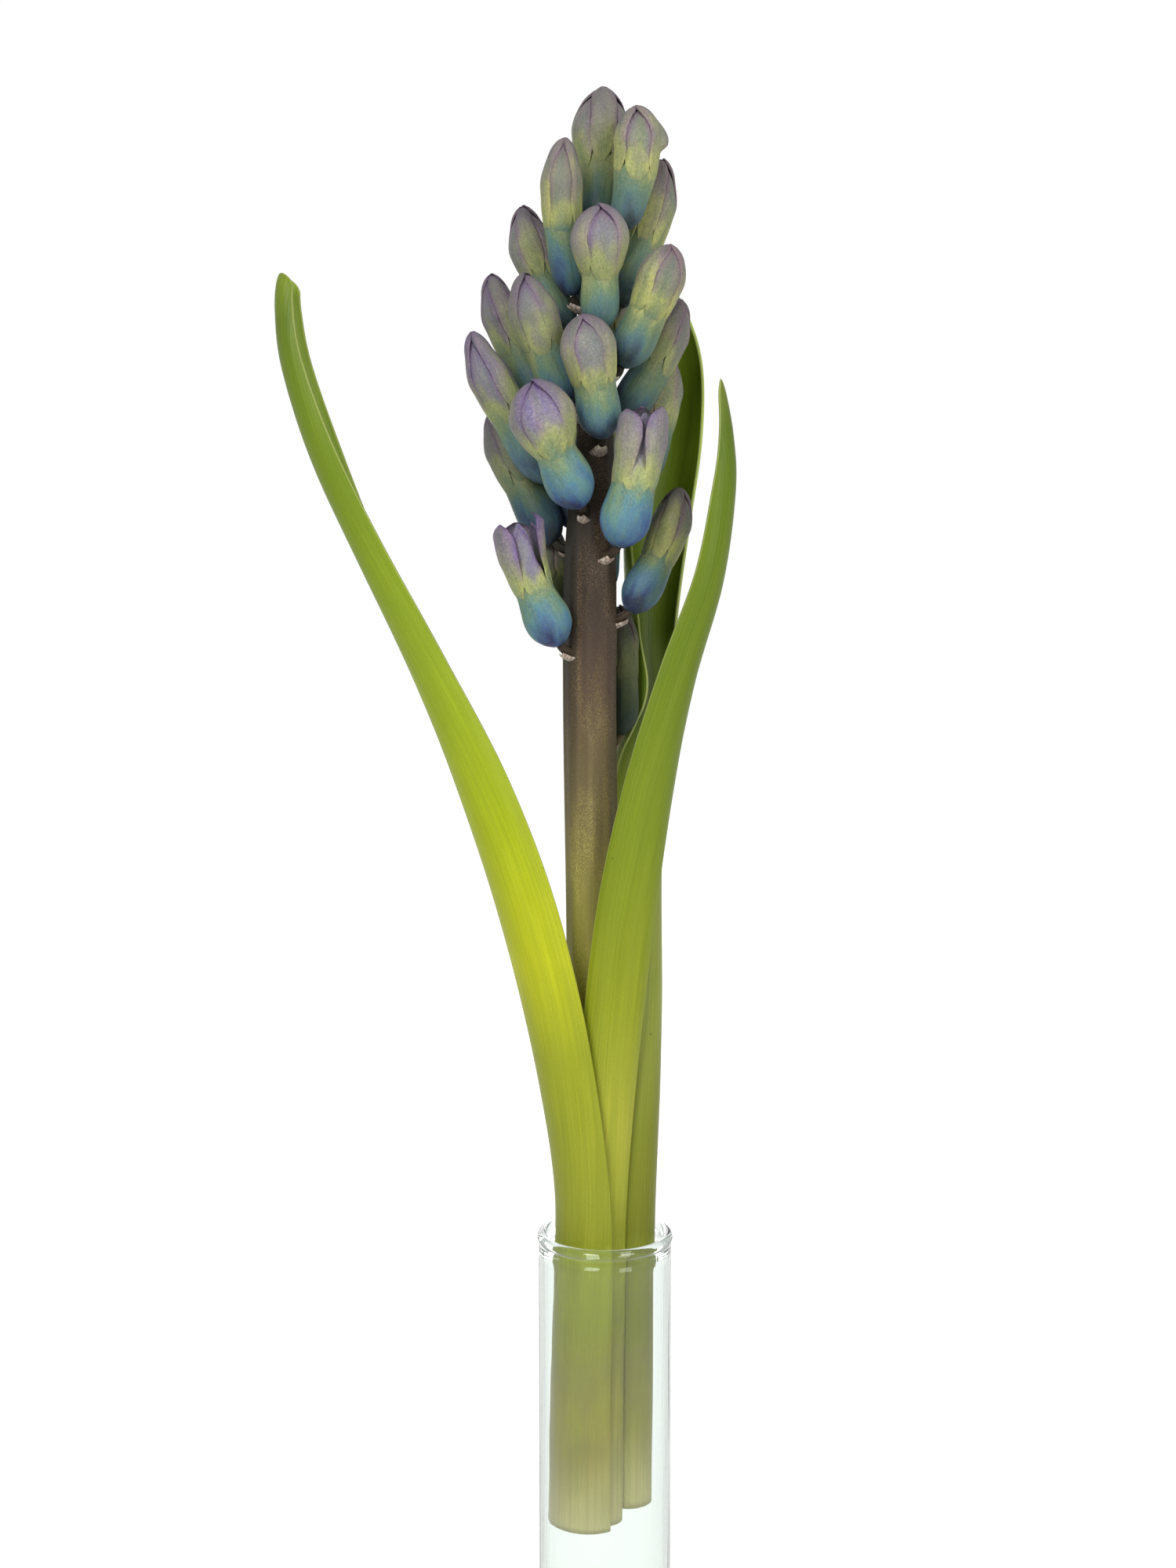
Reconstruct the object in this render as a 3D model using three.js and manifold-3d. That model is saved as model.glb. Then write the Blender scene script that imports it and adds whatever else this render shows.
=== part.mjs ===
// A cut hyacinth in bud, standing in a clear glass tube.
// Millimetres, +Z up. The origin is the centre of the tube's underside, and -Y is the front.
import * as THREE from 'three';
import { mergeVertices } from 'three/addons/utils/BufferGeometryUtils.js';
import Module from 'manifold-3d';

// ---- Driving dimensions -------------------------------------------------------------------

// Glass tube
const tubeDiameter = 25;
const tubeHeight = 90;
const wallThickness = 1.2;
const baseThickness = 8;
const beadRadius = 1;
const beadProud = 0.25;
const cornerRadius = 2;
const tubeSides = 40;

// Flower stalk: its axis, from the cut end to the top, with the radius at each place
const stalkCourse = [
  { at: [-3.0, 0, 36.5], radius: 4.5 },
  { at: [-2.4, 0, 70], radius: 4.6 },
  { at: [-2.2, 0, 110], radius: 4.7 },
  { at: [-2.4, 0, 150], radius: 4.75 },
  { at: [-2.9, 0, 190], radius: 4.8 },
  { at: [-2.8, 0, 215], radius: 4.7 },
  { at: [-2.4, 0, 232], radius: 3.9 },
  { at: [-2.1, 0, 250], radius: 3.1 },
  { at: [-2.2, 0, 266], radius: 2.4 },
  { at: [-2.0, 0, 274], radius: 1.7 },
];
const stalkSides = 16;
const stalkSteps = 12;
const pedicelRadius = 0.8;
const seatGap = 0.3;

// Florets, numbered from the top down: the middle of the ovary, the tip, and the radii of the ovary
// and of the belly. turn is where an inner petal faces, in degrees from straight out, bow is how far
// the middle of a bud leans out, and open is how far an opening floret's petals have spread, from 0 to 1.
const florets = [
  { base: [-1.9, 2.2, 279.8], tip: [-0.4, 3.4, 302.6], ovary: 3.1, belly: 5.3, turn: -110 },
  { base: [3.9, -3.0, 278.8], tip: [5.2, -6.0, 296.2], ovary: 3.2, belly: 4.2, turn: -60 },
  { base: [-6.7, -2.5, 267.0], tip: [-7.2, -6.4, 291.0], ovary: 3.1, belly: 3.8, turn: 60 },
  { base: [3.6, 4.2, 266.3], tip: [10.5, 5.0, 290.1], ovary: 3.2, belly: 4.1, turn: 50 },
  { base: [-1.1, -7.3, 260.4], tip: [-1.4, -12.6, 277.4], ovary: 3.5, belly: 5.1 },
  { base: [4.6, -5.6, 254.2], tip: [11.2, -9.4, 271.6], ovary: 3.8, belly: 4.3, turn: -26 },
  { base: [-8.0, 3.4, 261.0], tip: [-15.3, 4.0, 281.4], ovary: 3.3, belly: 4.3, turn: 60 },
  { base: [-1.1, -8.4, 241.5], tip: [-4.4, -14.4, 258.2], ovary: 4.0, belly: 4.9, turn: -8 },
  { base: [-8.1, -5.2, 247.5], tip: [-14.3, -9.6, 266.2], ovary: 3.9, belly: 4.4, turn: 38 },
  { base: [-11.8, 3.0, 247.4], tip: [-21.2, 3.6, 269.2], ovary: 3.9, belly: 4.0, turn: 60 },
  { base: [-12.0, -1.2, 234.0], tip: [-24.0, -4.0, 256.9], ovary: 4.0, belly: 4.0, turn: 60 },
  { base: [-6.3, -8.4, 229.4], tip: [-12.9, -15.4, 246.6], ovary: 4.6, belly: 5.9, turn: 19, bow: 1.8 },
  { base: [-11.5, 3.9, 223.6], tip: [-20.8, 5.8, 245.2], ovary: 4.1, belly: 4.1, turn: 60 },
  { base: [-10.3, -6.0, 204.8], tip: [-16.2, -9.6, 222.8], ovary: 4.4, belly: 4.1, turn: 53, open: 0.7 },
  { base: [3.4, -8.6, 222.9], tip: [6.6, -12.6, 242.2], ovary: 4.7, belly: 4.4, turn: -30, open: 0.4 },
  { base: [5.0, 3.2, 246.0], tip: [14.0, 1.6, 264.4], ovary: 3.8, belly: 3.8, turn: 60 },
  { base: [7.2, 7.8, 234.8], tip: [11.4, 10.4, 256.6], ovary: 4.0, belly: 4.1, turn: 60 },
  { base: [6.4, 1.0, 210.4], tip: [13.5, -1.0, 229.6], ovary: 3.8, belly: 3.7, turn: -45 },
  { base: [-9.0, 6.2, 206.4], tip: [-10.4, 9.8, 224.0], ovary: 3.9, belly: 4.0 },
  { base: [2.8, 6.9, 187.6], tip: [2.6, 8.4, 208.4], ovary: 3.6, belly: 3.5, bow: 0.4 },
];

// The florets at the back stand in two upright rows of the same spiral, one row half a step higher.
const backRows = [
  { azimuth: 80.5, heights: [214, 233, 252.5] },
  { azimuth: 113, heights: [226.5, 245.5, 267.5] },
];
const backTwist = -5;
const backFoot = { low: 9.3, high: 5.9 };
const backTip = { low: 17.0, high: 11.0 };
const backRise = 17.4;

// Leaves: places up the middle of the blade, from the cut end to the tip.
// face is the compass direction of the hollow side, width is measured round the curve of the blade,
// and bend is how far round the blade curls, in degrees. The blade is thick in the middle.
const leaves = {
  leaf_left: [
    { at: [-7.9, -5.8, 36.7], face: 42, width: 19.0, bend: 150, thick: 2.1 },
    { at: [-7.6, -5.9, 60], face: 40, width: 18.5, bend: 147, thick: 2.1 },
    { at: [-7.0, -5.9, 85], face: 40, width: 18.0, bend: 142, thick: 2.0 },
    { at: [-6.6, -6.6, 100], face: 46, width: 15.8, bend: 120, thick: 2.0 },
    { at: [-8.2, -8.2, 118], face: 56, width: 14.0, bend: 100, thick: 1.9 },
    { at: [-11.4, -9.4, 137], face: 63, width: 13.2, bend: 92, thick: 1.8 },
    { at: [-16.5, -10.4, 156], face: 61, width: 13.4, bend: 95, thick: 1.7 },
    { at: [-23.7, -11.2, 175], face: 52, width: 13.4, bend: 110, thick: 1.6 },
    { at: [-33.1, -11.8, 195], face: 30, width: 13.0, bend: 135, thick: 1.5 },
    { at: [-43.0, -12.2, 215], face: 10, width: 13.6, bend: 158, thick: 1.5 },
    { at: [-51.2, -12.4, 233], face: -1, width: 14.0, bend: 172, thick: 1.5 },
    { at: [-56.2, -12.4, 249], face: -4, width: 12.0, bend: 172, thick: 1.5 },
    { at: [-57.4, -12.4, 259.2], face: -4, width: 9.8, bend: 180, thick: 1.4 },
    { at: [-57.0, -12.4, 265.7], face: -4, width: 8.0, bend: 200, thick: 1.3 },
  ],
  leaf_right: [
    { at: [-0.4, -5.8, 36.7], face: 105, width: 8.5, bend: 78, thick: 1.4 },
    { at: [-0.2, -5.9, 70], face: 105, width: 8.5, bend: 78, thick: 1.4 },
    { at: [0.0, -6.0, 95], face: 105, width: 9.2, bend: 80, thick: 1.5 },
    { at: [0.6, -6.8, 115], face: 102, width: 10.6, bend: 78, thick: 1.7 },
    { at: [2.0, -8.0, 135], face: 100, width: 11.6, bend: 76, thick: 1.7 },
    { at: [4.6, -9.0, 155], face: 104, width: 11.6, bend: 80, thick: 1.6 },
    { at: [8.7, -9.8, 175], face: 116, width: 11.0, bend: 95, thick: 1.5 },
    { at: [14.4, -10.2, 195], face: 138, width: 10.8, bend: 115, thick: 1.4 },
    { at: [19.9, -10.4, 212], face: 153, width: 10.6, bend: 125, thick: 1.4 },
    { at: [22.3, -10.4, 228], face: 160, width: 9.4, bend: 125, thick: 1.3 },
    { at: [22.0, -10.4, 238], face: 165, width: 6.0, bend: 115, thick: 1.2 },
    { at: [20.3, -10.4, 247.8], face: 170, width: 2.2, bend: 90, thick: 1.0 },
  ],
  leaf_back: [
    { at: [8.1, 0.9, 38.5], face: 165, width: 13.6, bend: 170, thick: 1.8 },
    { at: [8.3, 0.9, 65], face: 165, width: 13.6, bend: 170, thick: 1.8 },
    { at: [8.5, 1.1, 92], face: 165, width: 13.6, bend: 166, thick: 1.8 },
    { at: [9.6, 1.9, 120], face: 174, width: 13.9, bend: 162, thick: 1.8 },
    { at: [9.9, 4.9, 142], face: 188, width: 14.5, bend: 170, thick: 1.8 },
    { at: [8.8, 10.1, 158], face: 225, width: 16.7, bend: 195, thick: 1.8 },
    { at: [6.2, 14.2, 170], face: 266, width: 18.0, bend: 215, thick: 1.7 },
    { at: [5.7, 15.0, 178], face: 282, width: 18.6, bend: 220, thick: 1.6 },
    { at: [6.5, 15.9, 185], face: 296, width: 17.3, bend: 228, thick: 1.6 },
    { at: [7.5, 16.3, 193], face: 304, width: 16.2, bend: 245, thick: 1.5 },
    { at: [7.1, 17.3, 204], face: 300, width: 16.9, bend: 220, thick: 1.5 },
    { at: [8.0, 20.0, 222], face: 290, width: 20.3, bend: 195, thick: 1.5 },
    { at: [12.5, 21.0, 240], face: 270, width: 17.3, bend: 165, thick: 1.5 },
    { at: [12.9, 20.4, 254], face: 266, width: 15.8, bend: 142, thick: 1.4 },
    { at: [11.2, 19.4, 263.5], face: 264, width: 12.4, bend: 125, thick: 1.3 },
    { at: [9.8, 18.8, 269], face: 264, width: 8.0, bend: 100, thick: 1.1 },
  ],
};
const marginThickness = 0.7;
const leafSteps = 24;

// ---- Shared shapes ------------------------------------------------------------------------

const degree = Math.PI / 180;
const vector = (xyz) => new THREE.Vector3(...xyz);
const smooth = THREE.MathUtils.smoothstep;

// Value of a list of [place, value] pairs, along a smooth curve through them.
function along(pairs, place) {
  const last = pairs.length - 1;
  const next = THREE.MathUtils.clamp(pairs.findIndex(([at]) => at >= place), 1, last);
  const [from, to] = [pairs[next - 1], pairs[next]];
  const share = THREE.MathUtils.clamp((place - from[0]) / (to[0] - from[0]), 0, 1);
  const slope = (i) => {
    const [before, after] = [pairs[Math.max(i - 1, 0)], pairs[Math.min(i + 1, last)]];
    return (after[1] - before[1]) / (after[0] - before[0]);
  };
  const span = to[0] - from[0];
  const [s2, s3] = [share * share, share ** 3];
  const levels = from[1] * (2 * s3 - 3 * s2 + 1) + to[1] * (3 * s2 - 2 * s3);
  const slopes = slope(next - 1) * (s3 - 2 * s2 + share) + slope(next) * (s3 - s2);
  return levels + span * slopes;
}

// A closed skin over rings of points. section is the flat outline that caps both ends, and a ring's
// points from foldAt on have their squares split the other way, so both faces of a blade split alike.
function loft(rings, section, foldAt = Infinity) {
  const sides = rings[0].length;
  const positions = rings.flat().flatMap((point) => [point.x, point.y, point.z]);
  const triangles = [];
  for (let ring = 0; ring < rings.length - 1; ring += 1) {
    for (let side = 0; side < sides; side += 1) {
      const a = ring * sides + side;
      const b = ring * sides + (side + 1) % sides;
      const [c, d] = [b + sides, a + sides];
      if (side < foldAt) triangles.push(a, b, c, a, c, d);
      else triangles.push(a, b, d, b, c, d);
    }
  }
  const top = (rings.length - 1) * sides;
  for (const [a, b, c] of THREE.ShapeUtils.triangulateShape(section, [])) {
    triangles.push(c, b, a);
    triangles.push(top + a, top + b, top + c);
  }
  const geometry = new THREE.BufferGeometry();
  geometry.setAttribute('position', new THREE.Float32BufferAttribute(positions, 3));
  geometry.setIndex(triangles);
  return geometry;
}

// A ring of points round a place on a path. radiusAt gives the radius at each angle.
function roundRing(centre, right, ahead, angles, radiusAt) {
  return angles.map((angle) => centre.clone()
    .addScaledVector(right, radiusAt(angle) * Math.cos(angle))
    .addScaledVector(ahead, radiusAt(angle) * Math.sin(angle)));
}

const evenAngles = (sides) => Array.from({ length: sides }, (_, i) => (i / sides) * 2 * Math.PI);
const roundSection = (angles) => angles.map((a) => new THREE.Vector2(Math.cos(a), Math.sin(a)));

// Two directions square to a path's own direction, the first as near to reference as can be.
function crossways(tangent, reference) {
  const right = reference.clone().addScaledVector(tangent, -reference.dot(tangent)).normalize();
  return [right, tangent.clone().cross(right)];
}

// A round rod along a curve, with a radius at each share of its length.
function rod(curve, steps, sides, radiusAt) {
  const angles = evenAngles(sides);
  const rings = Array.from({ length: steps + 1 }, (_, i) => {
    const [right, ahead] = crossways(curve.getTangent(i / steps), new THREE.Vector3(1, 0.13, 0.21));
    return roundRing(curve.getPoint(i / steps), right, ahead, angles, () => radiusAt(i / steps));
  });
  return loft(rings, roundSection(angles));
}

// ---- Joining solids -----------------------------------------------------------------------

const wasm = await Module();
wasm.setup();

function toSolid(geometry) {
  const bare = geometry.clone();
  bare.deleteAttribute('normal');
  bare.deleteAttribute('uv');
  const merged = mergeVertices(bare, 1e-4);
  const solid = new wasm.Mesh({
    numProp: 3,
    vertProperties: Float32Array.from(merged.attributes.position.array),
    triVerts: Uint32Array.from(merged.index.array),
  });
  return new wasm.Manifold(solid);
}

// Joins pieces into one body. A hollow that the joining seals is filled, and a loose scrap is dropped.
function fuse(geometries) {
  const joined = geometries.map(toSolid).reduce((whole, piece) => whole.add(piece));
  const [largest] = joined.decompose().sort((one, other) => other.volume() - one.volume());
  const { vertProperties, triVerts } = largest.getMesh();
  const geometry = new THREE.BufferGeometry();
  geometry.setAttribute('position', new THREE.BufferAttribute(vertProperties, 3));
  geometry.setIndex(new THREE.BufferAttribute(triVerts, 1));
  return geometry;
}

// ---- Glass tube ---------------------------------------------------------------------------

// Blown in one piece: a thick flat base, a straight wall and a rounded bead round the mouth.
function glassTube() {
  const outer = tubeDiameter / 2;
  const inner = outer - wallThickness;
  const beadCentre = outer + beadProud - beadRadius;
  const beadMeets = (x) => Math.acos((x - beadCentre) / beadRadius) / degree;
  const profile = [new THREE.Vector2(0, 0)];
  const arc = (x, y, radius, from, to, steps) => {
    for (let i = 0; i <= steps; i += 1) {
      const angle = (from + ((to - from) * i) / steps) * degree;
      profile.push(new THREE.Vector2(x + radius * Math.cos(angle), y + radius * Math.sin(angle)));
    }
  };
  arc(outer - cornerRadius, cornerRadius, cornerRadius, -90, 0, 3);
  arc(beadCentre, tubeHeight, beadRadius, -beadMeets(outer), 360 - beadMeets(inner), 8);
  arc(inner - cornerRadius, baseThickness + cornerRadius, cornerRadius, 0, -90, 3);
  profile.push(new THREE.Vector2(0, baseThickness));
  return new THREE.LatheGeometry(profile, tubeSides).rotateX(Math.PI / 2);
}

// ---- Florets ------------------------------------------------------------------------------

const stalkLine = new THREE.CatmullRomCurve3(stalkCourse.map(({ at }) => vector(at)));
const stalkAxisAt = (z) => new THREE.Vector3(
  along(stalkCourse.map(({ at }) => [at[2], at[0]]), z),
  along(stalkCourse.map(({ at }) => [at[2], at[1]]), z),
  z,
);
const stalkRadiusAt = (z) => along(stalkCourse.map(({ at, radius }) => [at[2], radius]), z);

for (const { azimuth, heights } of backRows) {
  heights.forEach((height, i) => {
    const heading = (azimuth + backTwist * i) * degree;
    const place = (reach, z) => {
      const axis = stalkAxisAt(z);
      return [axis.x + reach * Math.cos(heading), axis.y + reach * Math.sin(heading), z];
    };
    const share = i / heights.length;
    florets.push({
      base: place(THREE.MathUtils.lerp(backFoot.low, backFoot.high, share), height),
      tip: place(THREE.MathUtils.lerp(backTip.low, backTip.high, share), height + backRise),
      ovary: 3.8 - 0.7 * share,
      belly: 3.9 - 0.2 * share,
    });
  });
}

// The bent line up the middle of a floret, from the foot of its ovary to its tip.
function floretLine({ base, tip, ovary, bow = 1.2 }) {
  const [from, to] = [vector(base), vector(tip)];
  const outward = from.clone().sub(stalkAxisAt(from.z)).setZ(0).normalize();
  const control = from.clone().lerp(to, 0.5).addScaledVector(outward, bow * 2);
  const foot = from.clone().sub(control).setLength(ovary).add(from);
  return { curve: new THREE.QuadraticBezierCurve3(foot, control, to), outward };
}

// Radius of a bud at each share of its length: ovary, waist, belly and blunt tip.
function budRadius({ ovary, belly }, share) {
  const waist = 0.55 * ovary + 0.28 * belly;
  return along([
    [0, 0.3 * ovary], [0.04, 0.62 * ovary], [0.11, 0.92 * ovary], [0.19, ovary],
    [0.29, 0.5 * (ovary + waist)], [0.39, waist], [0.5, 0.5 * (waist + belly)], [0.62, 0.96 * belly],
    [0.72, belly], [0.83, 0.86 * belly], [0.92, 0.6 * belly], [0.98, 0.33 * belly], [1, 0.16 * belly],
  ], share);
}

const budShares = [0, 0.05, 0.12, 0.22, 0.36, 0.5, 0.63, 0.77, 0.89, 1];
const innerEdge = 21 * degree;
const outerEdge = 31 * degree;
const thirdTurn = 120 * degree;
const petalStep = 0.28;

// A closed bud: three outer petals stand proud of the three inner ones that show between them.
function closedBud(floret) {
  const { curve, outward } = floretLine(floret);
  const turned = (floret.turn ?? 0) * degree;
  const corners = [-innerEdge, innerEdge, outerEdge, thirdTurn / 2, thirdTurn - outerEdge];
  const angles = [0, 1, 2].flatMap((petal) => corners.map((corner) => turned + petal * thirdTurn + corner));
  const rings = budShares.map((share) => {
    const [right, ahead] = crossways(curve.getTangent(share), outward);
    const radius = budRadius(floret, share);
    const step = petalStep * smooth(share, 0.36, 0.5) * (1 - smooth(share, 0.85, 1));
    const sunk = (angle) => angles.indexOf(angle) % corners.length < 2;
    return roundRing(curve.getPoint(share), right, ahead, angles,
      (angle) => radius + (sunk(angle) ? -step : step));
  });
  return loft(rings, roundSection(angles));
}

const petalShares = [0.32, 0.46, 0.6, 0.74, 0.88, 1];
const petalThickness = 1.1;
const petalSpread = 2.6;
const mouthRadius = 0.35;
const coreShares = [0, 0.05, 0.12, 0.22, 0.36, 0.5, 0.64, 0.8];

// One petal of an opening floret: a cupped blade that leans out towards its tip.
function openPetal(floret, curve, outward, angle, isOuter) {
  const halfWidth = isOuter ? 33 : 25;
  const across = [-1, 0, 1];
  const lean = floret.open * (isOuter ? 1 : 0.4);
  const rings = petalShares.map((share) => {
    const [right, ahead] = crossways(curve.getTangent(share), outward);
    const taper = 1 - 0.75 * smooth(share, 0.8, 1.04);
    const spread = lean * petalSpread * smooth(share, 0.5, 1);
    const cupped = budRadius(floret, share) + (isOuter ? 0.2 : -0.5) + spread;
    const middle = Math.max(cupped, petalThickness + mouthRadius);
    const edge = (radius) => across.map((u) => {
      const turn = angle + u * halfWidth * taper * degree;
      return curve.getPoint(share)
        .addScaledVector(right, radius * Math.cos(turn))
        .addScaledVector(ahead, radius * Math.sin(turn));
    });
    return [...edge(middle), ...edge(middle - petalThickness).reverse()];
  });
  const section = [...across.map((u) => new THREE.Vector2(u, -1)),
    ...across.map((u) => new THREE.Vector2(-u, 1))];
  return loft(rings, section, across.length);
}

// An opening floret: the ovary and a slim core, with six separate petals round them.
function openingFloret(floret) {
  const { curve, outward } = floretLine(floret);
  const turned = (floret.turn ?? 0) * degree;
  const angles = evenAngles(12);
  const rings = coreShares.map((share) => {
    const [right, ahead] = crossways(curve.getTangent(share), outward);
    const slim = 1 - 0.5 * smooth(share, 0.5, 0.8);
    return roundRing(curve.getPoint(share), right, ahead, angles, () => budRadius(floret, share) * slim);
  });
  const pieces = [loft(rings, roundSection(angles))];
  for (let petal = 0; petal < 6; petal += 1) {
    const angle = turned + petal * (Math.PI / 3);
    pieces.push(openPetal(floret, curve, outward, angle, petal % 2 === 1));
  }
  return fuse(pieces);
}

// ---- Flower stalk -------------------------------------------------------------------------

// A short stem that leaves the stalk below its floret and turns up into the ovary's foot.
function pedicel(floret) {
  const { curve } = floretLine(floret);
  const foot = curve.getPoint(0);
  const heading = curve.getTangent(0);
  const end = foot.clone().addScaledVector(heading, -seatGap);
  const rootHeight = Math.min(end.z - 2.5, stalkCourse.at(-1).at[2] - 1.5);
  const root = stalkAxisAt(rootHeight);
  const elbow = end.clone().addScaledVector(heading, -2.2);
  const path = new THREE.QuadraticBezierCurve3(root, elbow, end);
  return rod(path, 3, 5, (share) => pedicelRadius * (1.25 - 0.25 * share));
}

// The little papery bract under each pedicel.
function bract(floret) {
  const foot = floretLine(floret).curve.getPoint(0);
  const rootHeight = Math.min(foot.z - 3.6, stalkCourse.at(-1).at[2] - 3);
  const axis = stalkAxisAt(rootHeight);
  const outward = foot.clone().sub(axis).setZ(0).normalize();
  const root = axis.clone().addScaledVector(outward, stalkRadiusAt(rootHeight) - 0.8);
  const tip = root.clone().addScaledVector(outward, 2.3).add(new THREE.Vector3(0, 0, 1.6));
  const path = new THREE.QuadraticBezierCurve3(root, root.clone().addScaledVector(outward, 1.7), tip);
  return rod(path, 2, 4, (share) => 0.9 - 0.5 * share);
}

function flowerStalk() {
  const radiusAt = (share) => stalkRadiusAt(stalkLine.getPoint(share).z);
  const scape = rod(stalkLine, stalkSteps, stalkSides, radiusAt);
  return fuse([scape, ...florets.map(pedicel), ...florets.map(bract)]);
}

// ---- Leaves -------------------------------------------------------------------------------

// A channelled blade. Its section is a curved strip, thick in the middle and thin at the margins.
function leafBlade(course) {
  const line = new THREE.CatmullRomCurve3(course.map(({ at }) => vector(at)));
  const last = course.length - 1;
  const value = (key, share) => along(course.map((place, i) => [i / last, place[key]]), share);
  const across = [-1, -0.7, -0.35, 0, 0.35, 0.7, 1];
  const sectionAt = (share) => {
    const bend = value('bend', share) * degree;
    const radius = value('width', share) / bend;
    const strip = (side) => across.map((u) => {
      const half = 0.5 * (marginThickness + (value('thick', share) - marginThickness) * (1 - u * u));
      const reach = radius + side * half;
      const turn = (u * bend) / 2;
      return new THREE.Vector2(reach * Math.sin(turn), radius - reach * Math.cos(turn));
    });
    return [...strip(1), ...strip(-1).reverse()];
  };
  const rings = Array.from({ length: leafSteps + 1 }, (_, i) => {
    const share = i / leafSteps;
    const face = value('face', share) * degree;
    const facing = new THREE.Vector3(Math.cos(face), Math.sin(face), 0);
    const [inward, sideways] = crossways(line.getTangent(share), facing);
    return sectionAt(share).map(({ x, y }) => line.getPoint(share)
      .addScaledVector(sideways, -x)
      .addScaledVector(inward, y));
  });
  return loft(rings, sectionAt(0), across.length);
}

// ---- The whole ----------------------------------------------------------------------------

const glass = new THREE.MeshStandardMaterial({ color: '#dfe8e2', roughness: 0.05 });
glass.transparent = true;
glass.opacity = 0.35;
const stalkGreen = new THREE.MeshStandardMaterial({ color: '#6a5c45', roughness: 0.6 });
const leafGreen = new THREE.MeshStandardMaterial({ color: '#8aa61c', roughness: 0.4 });
const petalBlue = new THREE.MeshStandardMaterial({ color: '#75809a', roughness: 0.55 });

function piece(name, geometry, material) {
  const mesh = new THREE.Mesh(geometry, material);
  mesh.name = name;
  return mesh;
}

const hyacinth = new THREE.Group();
hyacinth.add(piece('glass_tube', glassTube(), glass));
hyacinth.add(piece('flower_stalk', flowerStalk(), stalkGreen));
for (const [name, course] of Object.entries(leaves)) {
  hyacinth.add(piece(name, leafBlade(course), leafGreen));
}
florets.forEach((floret, i) => {
  const shape = floret.open ? openingFloret(floret) : closedBud(floret);
  hyacinth.add(piece(`floret_${String(i + 1).padStart(2, '0')}`, shape, petalBlue));
});

export default hyacinth;
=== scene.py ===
import math

import bpy
import numpy as np
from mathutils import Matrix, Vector


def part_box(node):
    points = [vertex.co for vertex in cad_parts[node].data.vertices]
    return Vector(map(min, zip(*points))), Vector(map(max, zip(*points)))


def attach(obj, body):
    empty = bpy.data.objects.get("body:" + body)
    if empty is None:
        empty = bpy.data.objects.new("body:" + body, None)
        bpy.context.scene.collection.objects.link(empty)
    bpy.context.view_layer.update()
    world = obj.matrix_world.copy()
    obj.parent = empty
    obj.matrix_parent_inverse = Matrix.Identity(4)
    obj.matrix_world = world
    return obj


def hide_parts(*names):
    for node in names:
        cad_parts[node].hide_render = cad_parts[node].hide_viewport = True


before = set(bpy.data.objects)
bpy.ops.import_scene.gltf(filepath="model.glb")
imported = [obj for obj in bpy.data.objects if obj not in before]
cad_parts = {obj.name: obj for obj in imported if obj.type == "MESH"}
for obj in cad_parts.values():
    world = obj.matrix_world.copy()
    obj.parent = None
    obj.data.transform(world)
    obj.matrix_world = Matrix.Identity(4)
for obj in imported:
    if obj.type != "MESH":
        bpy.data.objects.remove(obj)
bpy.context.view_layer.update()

# ---- Glass tube ---------------------------------------------------------------------------
# The vase is a length of clear tube with a thick flat base. Its mouth was melted back in a
# flame, which left a rounded bead. The glass is soda glass with a faint green-grey tint, drawn
# in the tube's length, so its wall carries faint upright streaks.

MM = 0.001
TUBE_RADIUS = 12.5 * MM
TUBE_WALL = 1.2 * MM
TUBE_BASE = 8 * MM
TUBE_CORNER = 2 * MM
BEAD_RADIUS = 1 * MM
BEAD_PROUD = 0.25 * MM
TUBE_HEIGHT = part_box("glass_tube")[1].z - BEAD_RADIUS
TUBE_SIDES = 144
CORNER_STEPS = 8
BEAD_STEPS = 28
WALL_RINGS = 30
FLAT_SHARE = 0.4
DRAWN_FINENESS = 420.0
DRAWN_LENGTH = (1, 1, 0.04)
GLASS_TINT = (0.78, 0.82, 0.79, 1)
GLASS_TINT_DENSITY = 260.0


def srgb(red, green, blue):
    """A colour given as sRGB values from 0 to 255, for a shader socket."""
    parts = (value / 255 for value in (red, green, blue))
    return [p / 12.92 if p <= 0.04045 else ((p + 0.055) / 1.055) ** 2.4 for p in parts] + [1.0]


def add_node(tree, kind, inputs=None, **settings):
    """A new node. Its inputs are given by name or number, as values or as other nodes' outputs."""
    made = tree.nodes.new(kind)
    for name, value in settings.items():
        setattr(made, name, value)
    for name, value in (inputs or {}).items():
        if isinstance(value, bpy.types.NodeSocket):
            tree.links.new(value, made.inputs[name])
        else:
            made.inputs[name].default_value = value
    return made


def new_material(name):
    """A material with an empty node tree, and the output that its shader goes to."""
    material = bpy.data.materials.new(name)
    material.use_nodes = True
    material.node_tree.nodes.clear()
    return material, material.node_tree, add_node(material.node_tree, "ShaderNodeOutputMaterial")


def object_place(tree):
    """Object coordinates, which start at the centre of the tube's underside."""
    return add_node(tree, "ShaderNodeTexCoord").outputs["Object"]


def drawn_noise(tree, place, shortness, fineness, detail):
    """Noise that is drawn out where shortness is small."""
    drawn = add_node(tree, "ShaderNodeVectorMath", {0: place, 1: shortness}, operation="MULTIPLY")
    noise = {"Vector": drawn.outputs[0], "Scale": fineness, "Detail": detail}
    return add_node(tree, "ShaderNodeTexNoise", noise).outputs["Fac"]


def bumped(tree, height, strength, distance):
    """The normal that a height gives. distance is in metres."""
    made = add_node(tree, "ShaderNodeBump", {"Height": height, "Strength": strength, "Distance": distance})
    return made.outputs["Normal"]


def new_object(name, data):
    made = bpy.data.objects.new(name, data)
    bpy.context.scene.collection.objects.link(made)
    return made


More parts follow.
